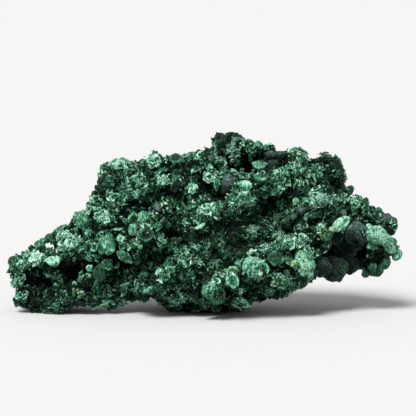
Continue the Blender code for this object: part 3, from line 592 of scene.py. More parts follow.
welded = bmesh.new()
welded.from_mesh(stone.data)
bmesh.ops.remove_doubles(welded, verts=welded.verts, dist=WELD)
crust = add_object("crust", bpy.data.meshes.new("crust"))
welded.to_mesh(crust.data)
welded.free()
remake = crust.modifiers.new("even faces", "REMESH")
remake.mode = "VOXEL"
remake.voxel_size = CRUST_GRAIN
relax = crust.modifiers.new("melt the facets", "SMOOTH")
relax.factor = 0.5
relax.iterations = RELAX_STEPS
finished = crust.evaluated_get(bpy.context.evaluated_depsgraph_get())
crust.data = bpy.data.meshes.new_from_object(finished)
crust.modifiers.clear()
print("even crust:", len(crust.data.vertices), "points")


# %% Read and write a mesh as arrays
def read(items, field, width=3, kind=np.float32):
    """One property of every item, such as each point's place, with a row for each item."""
    values = np.empty(len(items) * width, kind)
    items.foreach_get(field, values)
    return values.reshape(-1, width)


def write_attribute(mesh, name, values):
    """Store a number or a vector at every point, for the finish to read."""
    values = np.asarray(values, np.float32)
    kind, field = ("FLOAT_VECTOR", "vector") if values.ndim == 2 else ("FLOAT", "value")
    attribute = mesh.attributes.get(name) or mesh.attributes.new(name, kind, "POINT")
    attribute.data.foreach_set(field, values.ravel())


def neighbour_mean(mesh, values, rounds):
    """Each point's value averaged with its neighbours' again and again."""
    a, b = read(mesh.edges, "vertices", 2, np.int32).T
    size = len(values)
    count = np.bincount(a, minlength=size) + np.bincount(b, minlength=size)
    for _ in range(rounds):
        total = np.stack([np.bincount(a, column[b], size) + np.bincount(b, column[a], size)
                          for column in values.T], 1)
        values = (values + total) / (count[:, None] + 1)
    return values


# %% Move every point by domes and ridges
# Widths of domes, crests and ridges, the heights they add, and how far their pattern wanders.
DOME_MM = 6.2
DOME_HEIGHT = 1.7
CREST_MM = 2.8
CREST_HEIGHT = 1.2
RIDGE_MM = 1.3
RIDGE_HEIGHT = 0.6
WANDER_MM = 3.0
WANDER_SHIFTS = (0.0, 31.4, 57.2)
# The crust sinks this deep under a ball, and stays put this close to the floor (millimetres).
BALL_SINK = 1.3
BASE_MM = 0.6


def folded(point):
    """Noise folded about its middle, so that it makes sharp crests: 0 to 1."""
    return max(0.0, 1 - abs(noise.noise(point)) * 2.8)


def drift_at(point):
    """A small move that wanders smoothly from place to place."""
    return Vector([noise.noise(point + Vector((shift, 0, 0))) for shift in WANDER_SHIFTS])


def crumple(point):
    """Dome, crest and ridge, 0 to 1, and the dome's own random number, at a point in millimetres."""
    drift = drift_at(point / WANDER_MM) * 0.9
    distances, middles = noise.voronoi((point + drift) / DOME_MM)
    dome = min(1.0, (distances[1] - distances[0]) * 2.0)
    return (dome, folded((point + drift) / CREST_MM), folded((point + drift * 1.3) / RIDGE_MM),
            noise.cell(middles[0] * 9.7))


points = read(crust.data.vertices, "co").astype(float)
normals = read(crust.data.vertex_normals, "vector").astype(float)
domes, crests, ridges, luck = np.array([crumple(Vector(p / MM)) for p in points]).T
lift = (domes - 0.75) * DOME_HEIGHT + (crests - 0.5) * CREST_HEIGHT + (ridges - 0.5) * RIDGE_HEIGHT
masses = mass_rise(points)
lift += masses
lift[over_balls(points, 0.6)] = -BALL_SINK
lift[points[:, 2] < BASE_MM * MM] = 0
moved = points + normals * lift[:, None] * MM
moved[:, 2] = np.maximum(moved[:, 2], 0)
crust.data.vertices.foreach_set("co", moved.astype(np.float32).ravel())
crust.data.update()
crust_tree = BVHTree.FromPolygons([Vector(p) for p in moved],
                                  [tuple(f.vertices) for f in crust.data.polygons])
print("crumpled by up to", round(float(np.abs(lift).max()), 1), "mm")

# %% [markdown]
# ### How deep each point lies
#
# Light hardly reaches between the masses, so the crust there is painted dark, as painted shade.
# Rays sent out from each point say how shut in it is, and the averaged surface says whether it
# stands proud.

# %% Measure how shut in each point is
RAYS = 14
RAY_REACH = 9 * MM
dice = np.random.default_rng(7)
ray_ways = dice.normal(size=(RAYS, 3))
ray_ways /= np.linalg.norm(ray_ways, axis=1)[:, None]
crust_normals = read(crust.data.vertex_normals, "vector").astype(float)
starts = moved + crust_normals * 0.4 * MM
shut = np.zeros(len(moved))
for way in ray_ways:
    ways = np.where((crust_normals @ way)[:, None] < 0, -way, way)
    for i, (start, out) in enumerate(zip(starts, ways)):
        if crust_tree.ray_cast(start, out, RAY_REACH)[0] is not None:
            shut[i] += 1 / RAYS


def standing_proud(rounds, most):
    """How far each point stands out of the surface averaged this many times, in millimetres."""
    return np.clip(((moved - neighbour_mean(crust.data, moved, rounds)) * normals).sum(1) / MM, -most, most)


proud, crisp = standing_proud(50, 2.5), standing_proud(4, 0.4)
# Domes, crests, ridges and masses make the crust pale on crests and dark in creases, partly its own pattern
# and partly painted shade. Being shut in, or below the averaged surface, adds painted shade; standing proud
# and crisp edges add painted highlights.
growth = np.clip(0.08 + 0.3 * domes + 0.22 * crests + 0.22 * ridges + 0.15 * masses + 0.1 * proud
                 + 0.8 * crisp - 0.7 * shut, 0, 1)
print("shut in by", round(float(shut.mean()), 2), "on average")

# %% Dress the crust
# Each patch: across, up, half width, half height, how olive.
WARM_PATCHES = (
    (41, 23.4, 2.5, 2, 0.55), (56, 37, 3, 3, 0.5), (-58, 10, 4, 3, 0.35), (9, 9, 3, 3, 0.35),
    (60, 39, 5, 1.5, 0.5), (14, 37, 5, 3, 0.3), (8, 21, 5, 2, 0.4), (64, 46, 5, 2, 0.25),
    (5, 33, 7, 3, 0.25), (28, 15, 5, 2, 0.4), (26, 44, 4, 3, 0.2),
)


def region_warm(points):
    """How olive the stone is at each of these frame points."""
    across, up, out = to_face(points)
    return np.clip(add_patches(WARM_PATCHES, across, up) * np.clip((out + 4) / 8, 0, 1), 0, 1)


# The crust's tone: its region's, with that region's painted shade, more painted shade close to the named
# pieces, and each dome's own random part.
crust_tone_and_shade = region_tone_and_shade(moved) - shade_round_named(moved) + (luck - 0.5) * 0.5
for label, values in (("growth", growth), ("tone", crust_tone_and_shade), ("warm", region_warm(moved)),
                      ("strand", moved / MM)):
    write_attribute(crust.data, label, values)
crust.data.polygons.foreach_set("use_smooth", [True] * len(crust.data.polygons))
crust.data.materials.append(CRUST)
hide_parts("malachite")
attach(crust, "root")
print("crust:", len(crust.data.polygons) * 2, "triangles")

# %% [markdown]
# ## Finding places on the crust
#
# Listed pieces name a place on the show face and fall straight back onto the crust. Pieces
# that grew by the hundred are scattered over it, each face as likely as its area times a weight
# that says where such pieces grow.


# %% Drop a place onto the crust, and scatter places over it
def touch(across, up):
    """Where a place on the show face meets the crust, and the way the crust faces there."""
    spot, facing, _, _ = crust_tree.ray_cast(to_frame(across, up, 90), Vector(-OUT))
    if spot is None:
        spot, facing, _, _ = crust_tree.find_nearest(to_frame(across, up, 0))
    return spot, facing


crust.data.calc_loop_triangles()
corners = read(crust.data.loop_triangles, "vertices", 3, np.int32)
first, second, third = (moved[corners[:, i]] for i in range(3))
tri_area = np.linalg.norm(np.cross(second - first, third - first), axis=1) / 2
tri_middle = (first + second + third) / 3
mean_normals = neighbour_mean(crust.data, crust_normals, 6)
mean_normals /= np.linalg.norm(mean_normals, axis=1)[:, None] + 1e-9
tri_facing = mean_normals[corners].mean(1)
tri_growth, tri_shut, tri_dome = (values[corners].mean(1) for values in (growth, shut, domes))
tri_luck = luck[corners[:, 0]]
# Nothing grows on the balls or this close to the floor, in millimetres.
CLEAR_OF_FLOOR = 1.2
tri_open = tri_area * (tri_middle[:, 2] > CLEAR_OF_FLOOR * MM) * ~over_balls(tri_middle, 0.5)
across_of, up_of, out_of = to_face(tri_middle)
show = np.clip((out_of + 14) / 12, 0.25, 1) * np.clip(0.75 + 0.5 * (tri_facing @ OUT), 0.3, 1)


def scatter(count, weight):
    """Random places on the crust: the crust faces they lie on, and the points."""
    chance = tri_open * np.clip(weight, 0, None)
    picks = dice.choice(len(chance), count, p=chance / chance.sum())
    share = np.sort(dice.random((count, 2)), axis=1)
    mix = np.stack([share[:, 0], share[:, 1] - share[:, 0], 1 - share[:, 1]], 1)
    return picks, sum(mix[:, i:i + 1] * moved[corners[picks, i]] for i in range(3))


# Places too deep for anything to grow: across, up, half width, half height.
BARE_PLACES = (
    (-63, 18.5, 6, 5.2), (67, 30, 8, 5.5), (19, 73, 3, 1.0), (2, 59, 1.8, 2), (8, 54.5, 4, 2.4),
    (-30, 51.5, 7, 1.8), (-18, 57, 8, 1.8), (-15, 37, 4, 3), (10.5, 9, 1, 3), (31, 21, 2.5, 1.6),
    (-70, 29.5, 2, 1.5), (31, 53, 5, 2), (-52.5, 44, 1.2, 5), (-41, 25.8, 8, 1), (-40, 20, 2, 3),
    (-45, 14, 4, 1.4), (41, 18.5, 1.6, 1.4),
)


def near(across, up, wide, high):
    """A weight for each crust face, 1 at this place on the show face and fading past its size."""
    return soft_spot(across_of, up_of, across, up, wide, high) * (out_of > NAMED_BACK)


for place in BARE_PLACES:
    tri_open = tri_open * (1 - 0.93 * np.clip(1.4 * near(*place), 0, 1))
tri_open *= 1 - 0.95 * cover(across_of, up_of, out_of, 0.1)
print(len(tri_area), "faces to grow on")

# %% [markdown]
# ## Joining many small pieces
#
# Thousands of flakes and fibres would be slow as objects, so a few template shapes are made with
# bmesh and read as arrays. `plant` then turns, sizes and places copies of them in one joined mesh.
# Each copy stands along its aim and curls towards its lean, and carries its own tone. A template's
# points carry growth and strand in layers, which bmesh operators pass on to the points they make.

# %% Make and read templates
def new_shape():
    """An empty bmesh with the layers that every template has."""
    shape = bmesh.new()
    return shape, shape.verts.layers.float.new("growth"), shape.verts.layers.float_vector.new("strand")


def read_template(shape):
    """A bmesh as arrays: its points, its triangles, and each point's growth and place among the strands."""
    growth_layer = shape.verts.layers.float["growth"]
    strand_layer = shape.verts.layers.float_vector["strand"]
    bmesh.ops.recalc_face_normals(shape, faces=shape.faces)
    bmesh.ops.triangulate(shape, faces=shape.faces)
    shape.verts.index_update()
    spots = np.array([v.co for v in shape.verts])
    faces = np.array([[v.index for v in f.verts] for f in shape.faces])
    # Faces come in another order each run, so each starts at its first point and they are sorted.
    faces = np.take_along_axis(faces, (faces.argmin(1)[:, None] + [0, 1, 2]) % 3, 1)
    faces = faces[np.lexsort(faces.T[::-1])]
    grown = np.array([v[growth_layer] for v in shape.verts])
    strands = np.array([v[strand_layer] for v in shape.verts])
    shape.free()
    return spots, faces, grown, strands


def unit(ways):
    """Each way made one long."""
    return ways / (np.linalg.norm(ways, axis=1)[:, None] + 1e-12)


def random_ways(count):
    """Random ways in space, none likelier than another."""
    return dice.normal(size=(count, 3))


def frames_along(aims, leans):
    """Turns that stand a template's Z along each aim and its Y towards each lean."""
    z = unit(aims)
    y = unit(leans - (leans * z).sum(1)[:, None] * z)
    return np.stack([np.cross(y, z), y, z], axis=2)


# %% Plant copies of templates in one mesh
def plant(name, templates, spots, aims, leans, sizes, tones, finish, smooth=False):
    """One mesh of copies: spots in metres, sizes in millimetres, one each or one for X, Y and Z."""
    spots, sizes, tones = np.array(spots), np.array(sizes), np.array(tones)
    if sizes.ndim == 1:
        sizes = np.repeat(sizes[:, None], 3, axis=1)
    count = len(spots)
    turns = frames_along(np.array(aims), np.array(leans))
    kinds = dice.integers(0, len(templates), count)
    warms = region_warm(spots)
    parts, start = [], 0
    for kind, (shape, faces, grown, strands) in enumerate(templates):
        chosen = np.flatnonzero(kinds == kind)
        local = shape[None] * sizes[chosen][:, None, :] * MM
        placed = np.einsum("nij,nvj->nvi", turns[chosen], local) + spots[chosen][:, None, :]
        steps = start + np.arange(len(chosen)) * len(shape)
        shifts = chosen[:, None] * np.array([[3.7, 1.3, 7.1]])
        parts.append((placed.reshape(-1, 3), (faces[None] + steps[:, None, None]).reshape(-1, 3),
                      np.tile(grown, len(chosen)), np.repeat(tones[chosen], len(shape)),
                      np.repeat(warms[chosen], len(shape)),
                      (strands[None] + shifts[:, None]).reshape(-1, 3)))
        start += len(chosen) * len(shape)
    joined, faces, grown, toned, warmed, strands = (np.concatenate(group) for group in zip(*parts))
    joined[:, 2] = np.maximum(joined[:, 2], 0.02 * MM)
    mesh = bpy.data.meshes.new(name)
    mesh.vertices.add(len(joined))
    mesh.vertices.foreach_set("co", joined.astype(np.float32).ravel())
    mesh.loops.add(faces.size)
    mesh.loops.foreach_set("vertex_index", faces.astype(np.int32).ravel())
    mesh.polygons.add(len(faces))
    mesh.polygons.foreach_set("loop_start", np.arange(0, faces.size, 3, dtype=np.int32))
    mesh.polygons.foreach_set("use_smooth", [smooth] * len(faces))
    mesh.update(calc_edges=True)
    for label, values in (("growth", grown), ("tone", toned), ("warm", warmed), ("strand", strands)):
        write_attribute(mesh, label, values)
    mesh.materials.append(finish)
    piece = add_object(name, mesh)
    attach(piece, "root")
    print(f"{name}: {count} copies, {len(faces)} triangles")


def tone_and_shade_at(picks, spots, spread):
    """Each copy's tone: its region's, its dome's own and a random part, with painted shade near the named
    pieces, where it is shut in and towards the creases between domes.
    """
    return (region_tone_and_shade(spots) - shade_round_named(spots) + 0.5 * (tri_luck[picks] - 0.5)
            - 0.5 * tri_shut[picks] - 0.5 * (0.6 - tri_dome[picks]) + dice.normal(0, spread, len(spots)))


# %% [markdown]
# ## Curled flakes
#
# Where fibres matted together they came away as small curled flakes, pale at the lip and dark at
# the root, and they stand in rosettes. A template is a little grid, spread into a fan, rolled over
# at its lip and given a thickness. Flat faces keep its folds crisp.

# %% Make flake templates
FLAKE_KINDS = 12
FLAKE_WALL = 0.1


def flake_template(kind):
    """A fan one unit long that stands on its root, rolls over towards +Y at its lip and is torn there."""
    roll, cup = dice.uniform(1.2, 3.3), dice.uniform(-0.1, 0.5)
    root, fan = dice.uniform(0.15, 0.3), dice.uniform(0.2, 0.5)
    columns, rows = ((3, 2), (2, 3), (2, 2))[kind % 3]
    sheet, growth_layer, strand_layer = new_shape()
    bmesh.ops.create_grid(sheet, x_segments=columns, y_segments=rows, size=0.5)
    for v in sheet.verts:
        side, rise = v.co.x * 2, v.co.y + 0.5
        torn = noise.noise(Vector((side * 2.3, kind * 5.0, rise))) * rise
        turn = roll * rise * (1 + 0.3 * torn)
        v[growth_layer] = rise**1.4
        v[strand_layer] = (side * 3, rise * 0.8, 0)
        v.co = (side * (root + fan * rise),
                (1 - math.cos(turn)) / roll - cup * side * side * rise + 0.3 * torn,
                math.sin(turn) / roll * (1 + 0.5 * torn))
    bmesh.ops.solidify(sheet, geom=sheet.faces[:], thickness=FLAKE_WALL)
    return read_template(sheet)


FLAKE_TEMPLATES = [flake_template(kind) for kind in range(FLAKE_KINDS)]
print("flake faces:", [len(t[1]) for t in FLAKE_TEMPLATES])

# %% Grow rosettes of flakes over the masses
moss_slope = np.clip(near(22, 38, 22, 10) + near(-10, 37, 9, 7) + near(8, 28, 14, 8) + near(-22, 9, 16, 5)
                     + near(34, 50, 10, 5) + 0.7 * near(-27, 21, 9, 7), 0, 1)
ROSETTE_FLAKES = 6


def grow_rosettes(name, count, weight, low, high):
    """Scatter rosettes whose flakes are from low to high long, in millimetres."""
    picks, middles = scatter(count, weight)
    picks, middles = np.repeat(picks, ROSETTE_FLAKES), np.repeat(middles, ROSETTE_FLAKES, axis=0)
    facings = tri_facing[picks]
    outward = unit(np.cross(facings, random_ways(len(picks))))
    length = np.repeat(dice.uniform(low, high, count), ROSETTE_FLAKES) * dice.uniform(0.7, 1.2, len(picks))
    spread = dice.uniform(0.05, 0.6, len(picks))[:, None]
    spots = middles + outward * length[:, None] * spread * MM - facings * 0.3 * MM
    aims = facings + outward * (0.2 + spread) + random_ways(len(picks)) * 0.2
    wide = length * dice.uniform(0.7, 1.3, len(picks))
    luck_of = np.repeat(dice.normal(0, 0.15, count), ROSETTE_FLAKES)
    plant(name, FLAKE_TEMPLATES, spots, aims, outward + random_ways(len(picks)) * 0.3,
          np.stack([wide, length, length], 1), tone_and_shade_at(picks, spots, 0.24) + luck_of, FLAKES)


crested = np.clip(tri_growth, 0.05, 1) * np.clip(tri_dome * 1.5, 0.15, 1)
grow_rosettes("rosettes_front", 680, crested * show**2 * (1.1 - moss_slope), low=1.1, high=2.6)
grow_rosettes("rosettes_back", 240, crested * (1.3 - show), low=1.5, high=2.8)

# %% [markdown]
# ## Crumbs
#
# Broken fibre bundles lie between the flakes as angular crumbs a millimetre or so across. A crumb is
# the hull of nine points, so it has fourteen faces at most, and each catches the light its own way.

# %% Make crumbs and scatter them
CRUMB_KINDS = 12
CRUMB_POINTS = 9
CRUMBS = 5600


def crumb_template():
    """The hull of a few points, longer than it is wide, each point with a growth of its own."""
    crumb, growth_layer, strand_layer = new_shape()
    for way in unit(random_ways(CRUMB_POINTS)):
        v = crumb.verts.new(way * dice.uniform(0.8, 1.1) * (1.5, 0.8, 0.9))
        v[growth_layer] = dice.uniform(0.1, 1)
        v[strand_layer] = v.co * 2
    hull = bmesh.ops.convex_hull(crumb, input=crumb.verts)
    bmesh.ops.delete(crumb, geom=hull["geom_interior"], context="VERTS")
    return read_template(crumb)


CRUMB_TEMPLATES = [crumb_template() for _ in range(CRUMB_KINDS)]
picks, spots = scatter(CRUMBS, crested * show * (1.05 - moss_slope))
length = dice.uniform(0.35, 0.95, CRUMBS)
sizes = np.stack([length] + [length * dice.uniform(0.7, 1.1, CRUMBS) for _ in range(2)], 1)
plant("crumbs", CRUMB_TEMPLATES, spots + tri_facing[picks] * 0.1 * MM, tri_facing[picks],
      random_ways(CRUMBS), sizes, tone_and_shade_at(picks, spots, 0.35), FLAKES)

# %% [markdown]
# ## Curled fibres
#
# The slope under the bell ridge is a mat of fine curled fibres, dark with pale backs, and coarser
# curls lie over everything else. A fibre is a cone cut across by planes, thinned at both ends and
# bent round an arc, so that it rises from the crust and dives back into it.

# %% Make fibre templates and grow them
FIBRE_KINDS = 10


def fibre_template(bend, wide, thick, sway=0.0, joints=4):
    """A three-sided fibre one unit long, thin at both ends and bent round an arc."""
    fibre, growth_layer, strand_layer = new_shape()
    bmesh.ops.create_cone(fibre, cap_ends=True, segments=3, radius1=0.5, radius2=0.5, depth=1)
    bmesh.ops.translate(fibre, verts=fibre.verts, vec=(0, 0, 0.5))
    for joint in range(1, joints):
        bmesh.ops.bisect_plane(fibre, geom=fibre.verts[:] + fibre.edges[:] + fibre.faces[:],
                               plane_co=(0, 0, joint / joints), plane_no=(0, 0, 1))
    for v in fibre.verts:
        rise = v.co.z
        body = 0.35 + 0.65 * math.sin(math.pi * min(1.0, rise + 0.15))
        # Paler at the crest of the arc and darker at both ends: a painted highlight on its top, and painted
        # shade where it dives into the crust.
        v[growth_layer] = math.sin(math.pi * (0.1 + 0.8 * rise))
        v[strand_layer] = (0, rise, 0)
        reach = 1 / bend - v.co.y * body * thick
        v.co = (v.co.x * body * wide + sway * math.sin(rise * 6),
                1 / bend - reach * math.cos(bend * rise), reach * math.sin(bend * rise))
    return read_template(fibre)


def fibre_templates(bends, widths, thick_share, sway, joints=4):
    """Fibres with bends and widths drawn from these ranges."""
    return [fibre_template(dice.uniform(*bends), wide, wide * thick_share, dice.uniform(-sway, sway), joints)
            for wide in dice.uniform(*widths, FIBRE_KINDS)]


WOOL_TEMPLATES = fibre_templates((1.4, 4.2), (0.08, 0.12), 0.8, 0.1, joints=3)
CURL_TEMPLATES = fibre_templates((1.6, 4.0), (0.24, 0.42), 0.45, 0.06)
print("fibre faces:", len(WOOL_TEMPLATES[0][1]))


# %% Grow the wool, the curls and the web
def grow_fibres(name, templates, count, weight, low, high, lean, spread, lift=0.0):
    """Scatter fibres from low to high long; lean lays them flat, spread and lift set their tones."""
    picks, spots = scatter(count, weight)
    length = dice.uniform(low, high, count)
    across_face = unit(np.cross(tri_facing[picks], random_ways(count)))
    aims = tri_facing[picks] + across_face * dice.uniform(0, lean, count)[:, None]
    plant(name, templates, spots - tri_facing[picks] * 0.1 * MM, aims, across_face, length,
          tone_and_shade_at(picks, spots, spread) + lift, FIBRES)


grow_fibres("moss_front", WOOL_TEMPLATES, 8200, moss_slope * show, low=1.4, high=3.2, lean=1.8, spread=0.45,
            lift=0.12)
grow_fibres("curls", CURL_TEMPLATES, 5200, show**2 * (1.2 - moss_slope) * (0.3 + crested), low=1.3, high=2.8,
            lean=2.2, spread=0.42)
web = (near(0, 50, 7, 4) + near(-12, 52, 9, 4) + near(10, 50, 5, 2) + 0.6 * near(-24, 58, 9, 5)
       + 0.5 * near(-5, 66, 5, 4))
grow_fibres("web_strands", CURL_TEMPLATES, 500, web, low=2.2, high=4.2, lean=2.5, spread=0.3, lift=0.45)

# %% [markdown]
# ## Sprays of long fibre
#
# On the bell, along the two ridges and in a few tufts the fibres are long and combed one way. Each
# spray has a row with its place, the way its fibres run on the show face and how far they fan out.
# Hair would be quicker to comb, but it doesn't export, so each fibre is a mesh.

# %% Comb the sprays
# Each: across, up, spread, count, way on the face (0 right, 90 up) and fan (degrees), length, tone.
SPRAYS = (
    (17, 54, 2.4, 80, -90, 75, 3.0, 0.35), (13.5, 53, 2.0, 60, -135, 18, 3.6, 0.4),
    (21.5, 53, 2.5, 90, -50, 30, 3.0, 0.3), (35, 62, 6.0, 240, 75, 60, 2.4, 0.25),
    (43, 67, 3.5, 200, 90, 20, 3.0, 0.35), (44, 60, 3.0, 110, 90, 25, 3.0, 0.3),
    (5, 64, 3.0, 70, 20, 60, 2.0, 0.4), (-5.5, 58.5, 2.2, 80, 60, 60, 1.8, 0.5),
    (-2, 40.5, 3.0, 110, 20, 25, 2.4, 0.5), (3, 44.5, 4.0, 90, 40, 40, 2.4, 0.2),
    (9, 49, 3.0, 100, 15, 30, 3.0, 0.4), (23, 27, 4.0, 100, 20, 30, 2.2, 0.3),
    (29, 28, 3.5, 100, 25, 25, 2.2, 0.4), (36, 32, 3.5, 120, 25, 30, 2.2, 0.5),
    (43, 34, 4.0, 100, 20, 35, 2.2, 0.45), (-39, 68.5, 3.0, 70, 95, 60, 1.6, 0.4),
    (-23, 70, 3.0, 70, 60, 60, 1.6, 0.4), (42, 72, 3.5, 90, 80, 60, 1.8, 0.35),
    (13, 78, 3.0, 120, 50, 20, 2.6, 0.35), (20, 77.5, 3.5, 80, -20, 30, 2.4, 0.25),
    (-42, 54, 3.5, 70, 0, 180, 2.0, 0.3), (79, 34, 4.0, 110, -38, 14, 2.6, 0.35),
    (85, 33, 2.5, 60, -38, 10, 2.6, 0.35), (51, 54, 4.5, 150, 30, 40, 2.4, 0.35),
    (47, 52, 3.5, 80, 20, 40, 2.4, 0.45), (38, 12, 7.0, 150, -20, 90, 2.6, 0.2),
    (-53, 34, 4.0, 70, 35, 15, 2.6, 0.35),
)
# Fibres are left out where the crust turns this far from the show side.
LEAST_FACING = 0.35
COMBED_TEMPLATES = fibre_templates((0.8, 2.2), (0.08, 0.14), 0.8, 0.03)


def face_way(degrees):
    """A way along the show face: 0 to the right, 90 up."""
    angle = math.radians(degrees)
    return Vector(ACROSS * math.cos(angle) + UP * math.sin(angle))


def comb_spray(across, up, spread, count, way, fan, length, tone):
    """The copies of one spray, each a spot, an aim, a lean, a length and a tone."""
    for _ in range(count):
        da, du = dice.normal(0, spread / 2, 2)
        spot, facing = touch(across + da, up + du)
        if facing.dot(Vector(OUT)) < LEAST_FACING:
            continue
        run = face_way(way + dice.uniform(-fan, fan))
        run = (run - facing * run.dot(facing)).normalized()
        yield (spot - facing * 0.1 * MM, run + facing * dice.uniform(0.05, 0.35), -facing,
               length * dice.uniform(0.6, 1.1), tone + dice.normal(0, 0.35))


combed = [copy for row in SPRAYS for copy in comb_spray(*row)]
plant("combed_fibres", COMBED_TEMPLATES, *zip(*combed), FIBRES)

# %% [markdown]
# ## Balls
#
# Each ball is a fine sphere with a lumpy surface, its fibres fanning out from one pole. It is
# painted paler towards that pole, which is turned up and to the front, and darker on its far side:
# painted light and shade. A sphere pushed by noise was chosen over a sculpted one because a few
# kinds serve every ball and lump.

# %% Set the balls
BALL_KINDS = 5


def ball_template(kind, subdivisions):
    """A lumpy ball one unit in radius, its fibres fanning out from its Z pole, painted paler towards that
    pole as painted light.
    """
    ball, growth_layer, strand_layer = new_shape()
    bmesh.ops.create_icosphere(ball, subdivisions=subdivisions, radius=1)
    for v in ball.verts:
        way = v.co.copy()
        # Paler towards the Z pole and darker away from it: painted light and shade, since the pole is turned
        # up and to the front.
        v[growth_layer] = 0.5 + 0.5 * way.z
        v[strand_layer] = (way.xy.normalized() * 5).to_3d() + Vector((0, 0, way.z))
        v.co *= 1.0 + 0.26 * noise.noise(way * 1.3 + Vector((kind * 7, 0, 0))) + 0.12 * noise.noise(way * 4)
    return read_template(ball)


BALL_TEMPLATES = [ball_template(kind, 4) for kind in range(BALL_KINDS)]
LUMP_TEMPLATES = [ball_template(kind, 3) for kind in range(BALL_KINDS)]


def set_balls(name, rows, finish):
    """Balls at their listed places, their poles up and towards the front, so that the painted light is pale
    above and dark below.
    """
    rows = np.array(rows)
    spots = [to_frame(*row[:3]) for row in rows]
    aims = np.array([0.0, -0.6, 1.0]) + random_ways(len(rows)) * 0.15
    plant(name, BALL_TEMPLATES, spots, aims, random_ways(len(rows)), rows[:, 3], rows[:, 4], finish,
          smooth=True)


set_balls("velvet_balls", VELVET_BALLS, VELVET)
set_balls("mottled_balls", MOTTLED_BALLS, MOTTLED)

# %% [markdown]
# ## Blocks
#
# Where a fibre bundle broke it left an angular block: silky faces, with a pale line along each
# edge that is partly wear and partly a painted highlight. A block is a sphere of fine faces pressed
# flat by a few planes, and its points are pale where two planes lie equally close. The small ones
# are hulls of eight points, each face inset and sunk.

# %% Make block templates
BLOCK_KINDS = 10
BLOCK_PLANES = 7
EDGE_WIDTH = 0.1


def block_template():
    """A lump one unit in radius, pressed flat by planes."""
    ways = unit(np.vstack([random_ways(BLOCK_PLANES), [[0, 0, 1], [0, 0, -1]]]))
    depths = dice.uniform(0.62, 0.95, len(ways))
    pale = dice.uniform(0.2, 1.0, len(ways))
    block, growth_layer, strand_layer = new_shape()
    bmesh.ops.create_icosphere(block, subdivisions=3, radius=1)
    for v in block.verts:
        way = v.co.copy()
        reach = depths / np.maximum(ways @ np.array(way), 0.25)
        first, second = np.argsort(reach)[:2]
        edge = max(0.0, 1 - (reach[second] - reach[first]) / EDGE_WIDTH)
        # Each face has its own random paleness; the pale line where two planes meet is partly wear and
        # partly a painted highlight.
        v[growth_layer] = 0.05 + 0.6 * pale[first] + 0.4 * edge
        v[strand_layer] = (way.x * 4, way.y * 1.2, way.z * 3)
        v.co *= min(1.2, reach[first]) - 0.03 * edge + 0.05 * noise.noise(way * 2.2 + Vector(ways[0]) * 9)
    return read_template(block)


def small_block_template():
    """The hull of eight points, its faces inset and sunk."""
    block, growth_layer, strand_layer = new_shape()
    for way in unit(random_ways(8)):
        block.verts.new(way * dice.uniform(0.9, 1.05))
    hull = bmesh.ops.convex_hull(block, input=block.verts)
    bmesh.ops.delete(block, geom=hull["geom_interior"], context="VERTS")
    rims = set(block.verts)
    wide_faces = [f for f in block.faces if f.calc_area() > 0.12]
    bmesh.ops.inset_individual(block, faces=wide_faces, thickness=0.07, depth=-0.03)
    for v in block.verts:
        # Pale rims, partly wear and partly a painted highlight, round darker inset faces.
        v[growth_layer] = 0.9 if v in rims else dice.uniform(0.2, 0.5)
        v[strand_layer] = (v.co.x * 5, v.co.y * 5, v.co.z)
    return read_template(block)


BLOCK_TEMPLATES = [block_template() for _ in range(BLOCK_KINDS)]
SMALL_BLOCK_TEMPLATES = [small_block_template() for _ in range(BLOCK_KINDS)]
print("block faces", len(BLOCK_TEMPLATES[0][1]), [len(t[1]) for t in SMALL_BLOCK_TEMPLATES])

# %% [markdown]
# ## Cups and caps
#
# Other bundles ended in a round barrel with a pale rim. In a cup its end is sunken, and painted
# dark there as painted shade; in a cap it swells out, green inside the rim. Both are a profile spun
# round its axis. One is pointed like an almond.

# %% Make cup and cap templates
# Each point of a profile: distance from the axis, height, growth.
# The low growth on the cup's sunken floor is painted shade.
CUP_PROFILE = (
    (0.5, -0.9, 0.1), (0.85, 0.0, 0.3), (1.0, 0.8, 0.65), (0.9, 1.0, 0.8), (0.68, 0.8, 0.5),
    (0.45, 0.5, 0.15), (0.0, 0.4, 0.05),
)
CAP_PROFILE = (
    (0.5, -0.9, 0.1), (0.85, 0.0, 0.3), (1.0, 0.55, 0.7), (0.93, 0.75, 0.8), (0.75, 0.83, 0.5),
    (0.4, 1.0, 0.4), (0.0, 1.05, 0.5),
)
ALMOND_PROFILE = (
    (0.5, -0.9, 0.1), (0.85, 0.0, 0.4), (1.0, 0.6, 0.7), (0.85, 0.95, 0.9), (0.62, 0.9, 0.6),
    (0.4, 0.72, 0.3), (0.0, 0.8, 0.45),
)
CUP_KINDS = 4


def spun_template(profile, turns, kind, point=0.0, wobble_height=0.3):
    """A profile spun round its axis, pinched to points at its two Y ends and made a little uneven."""
    cup, growth_layer, strand_layer = new_shape()
    line = []
    for x, z, grown in profile:
        line.append(cup.verts.new((x, 0, z)))
        line[-1][growth_layer] = grown
    edges = [cup.edges.new(pair) for pair in zip(line, line[1:])]
    bmesh.ops.spin(cup, geom=line + edges, cent=(0, 0, 0), axis=(0, 0, 1), angle=math.tau, steps=turns,
                   use_merge=True)
    bmesh.ops.remove_doubles(cup, verts=cup.verts, dist=0.001)
    bmesh.ops.holes_fill(cup, edges=[e for e in cup.edges if e.is_boundary], sides=0)
    for v in cup.verts:
        wobble = noise.noise(Vector((v.co.x, v.co.y, kind * 9.0)) * 1.6)
        v[growth_layer] *= 1 + 0.9 * noise.noise(Vector((v.co.x, v.co.y, kind * 3.0)) * 1.3)
        v[strand_layer] = (v.co.x * 4, v.co.y * 4, v.co.z * 0.5)
        v.co = (v.co.x * (1 + 0.5 * wobble) * (1 - point * v.co.y**2), v.co.y * (1 - 0.35 * wobble),
                v.co.z * (1 + wobble_height * wobble))
    return read_template(cup)


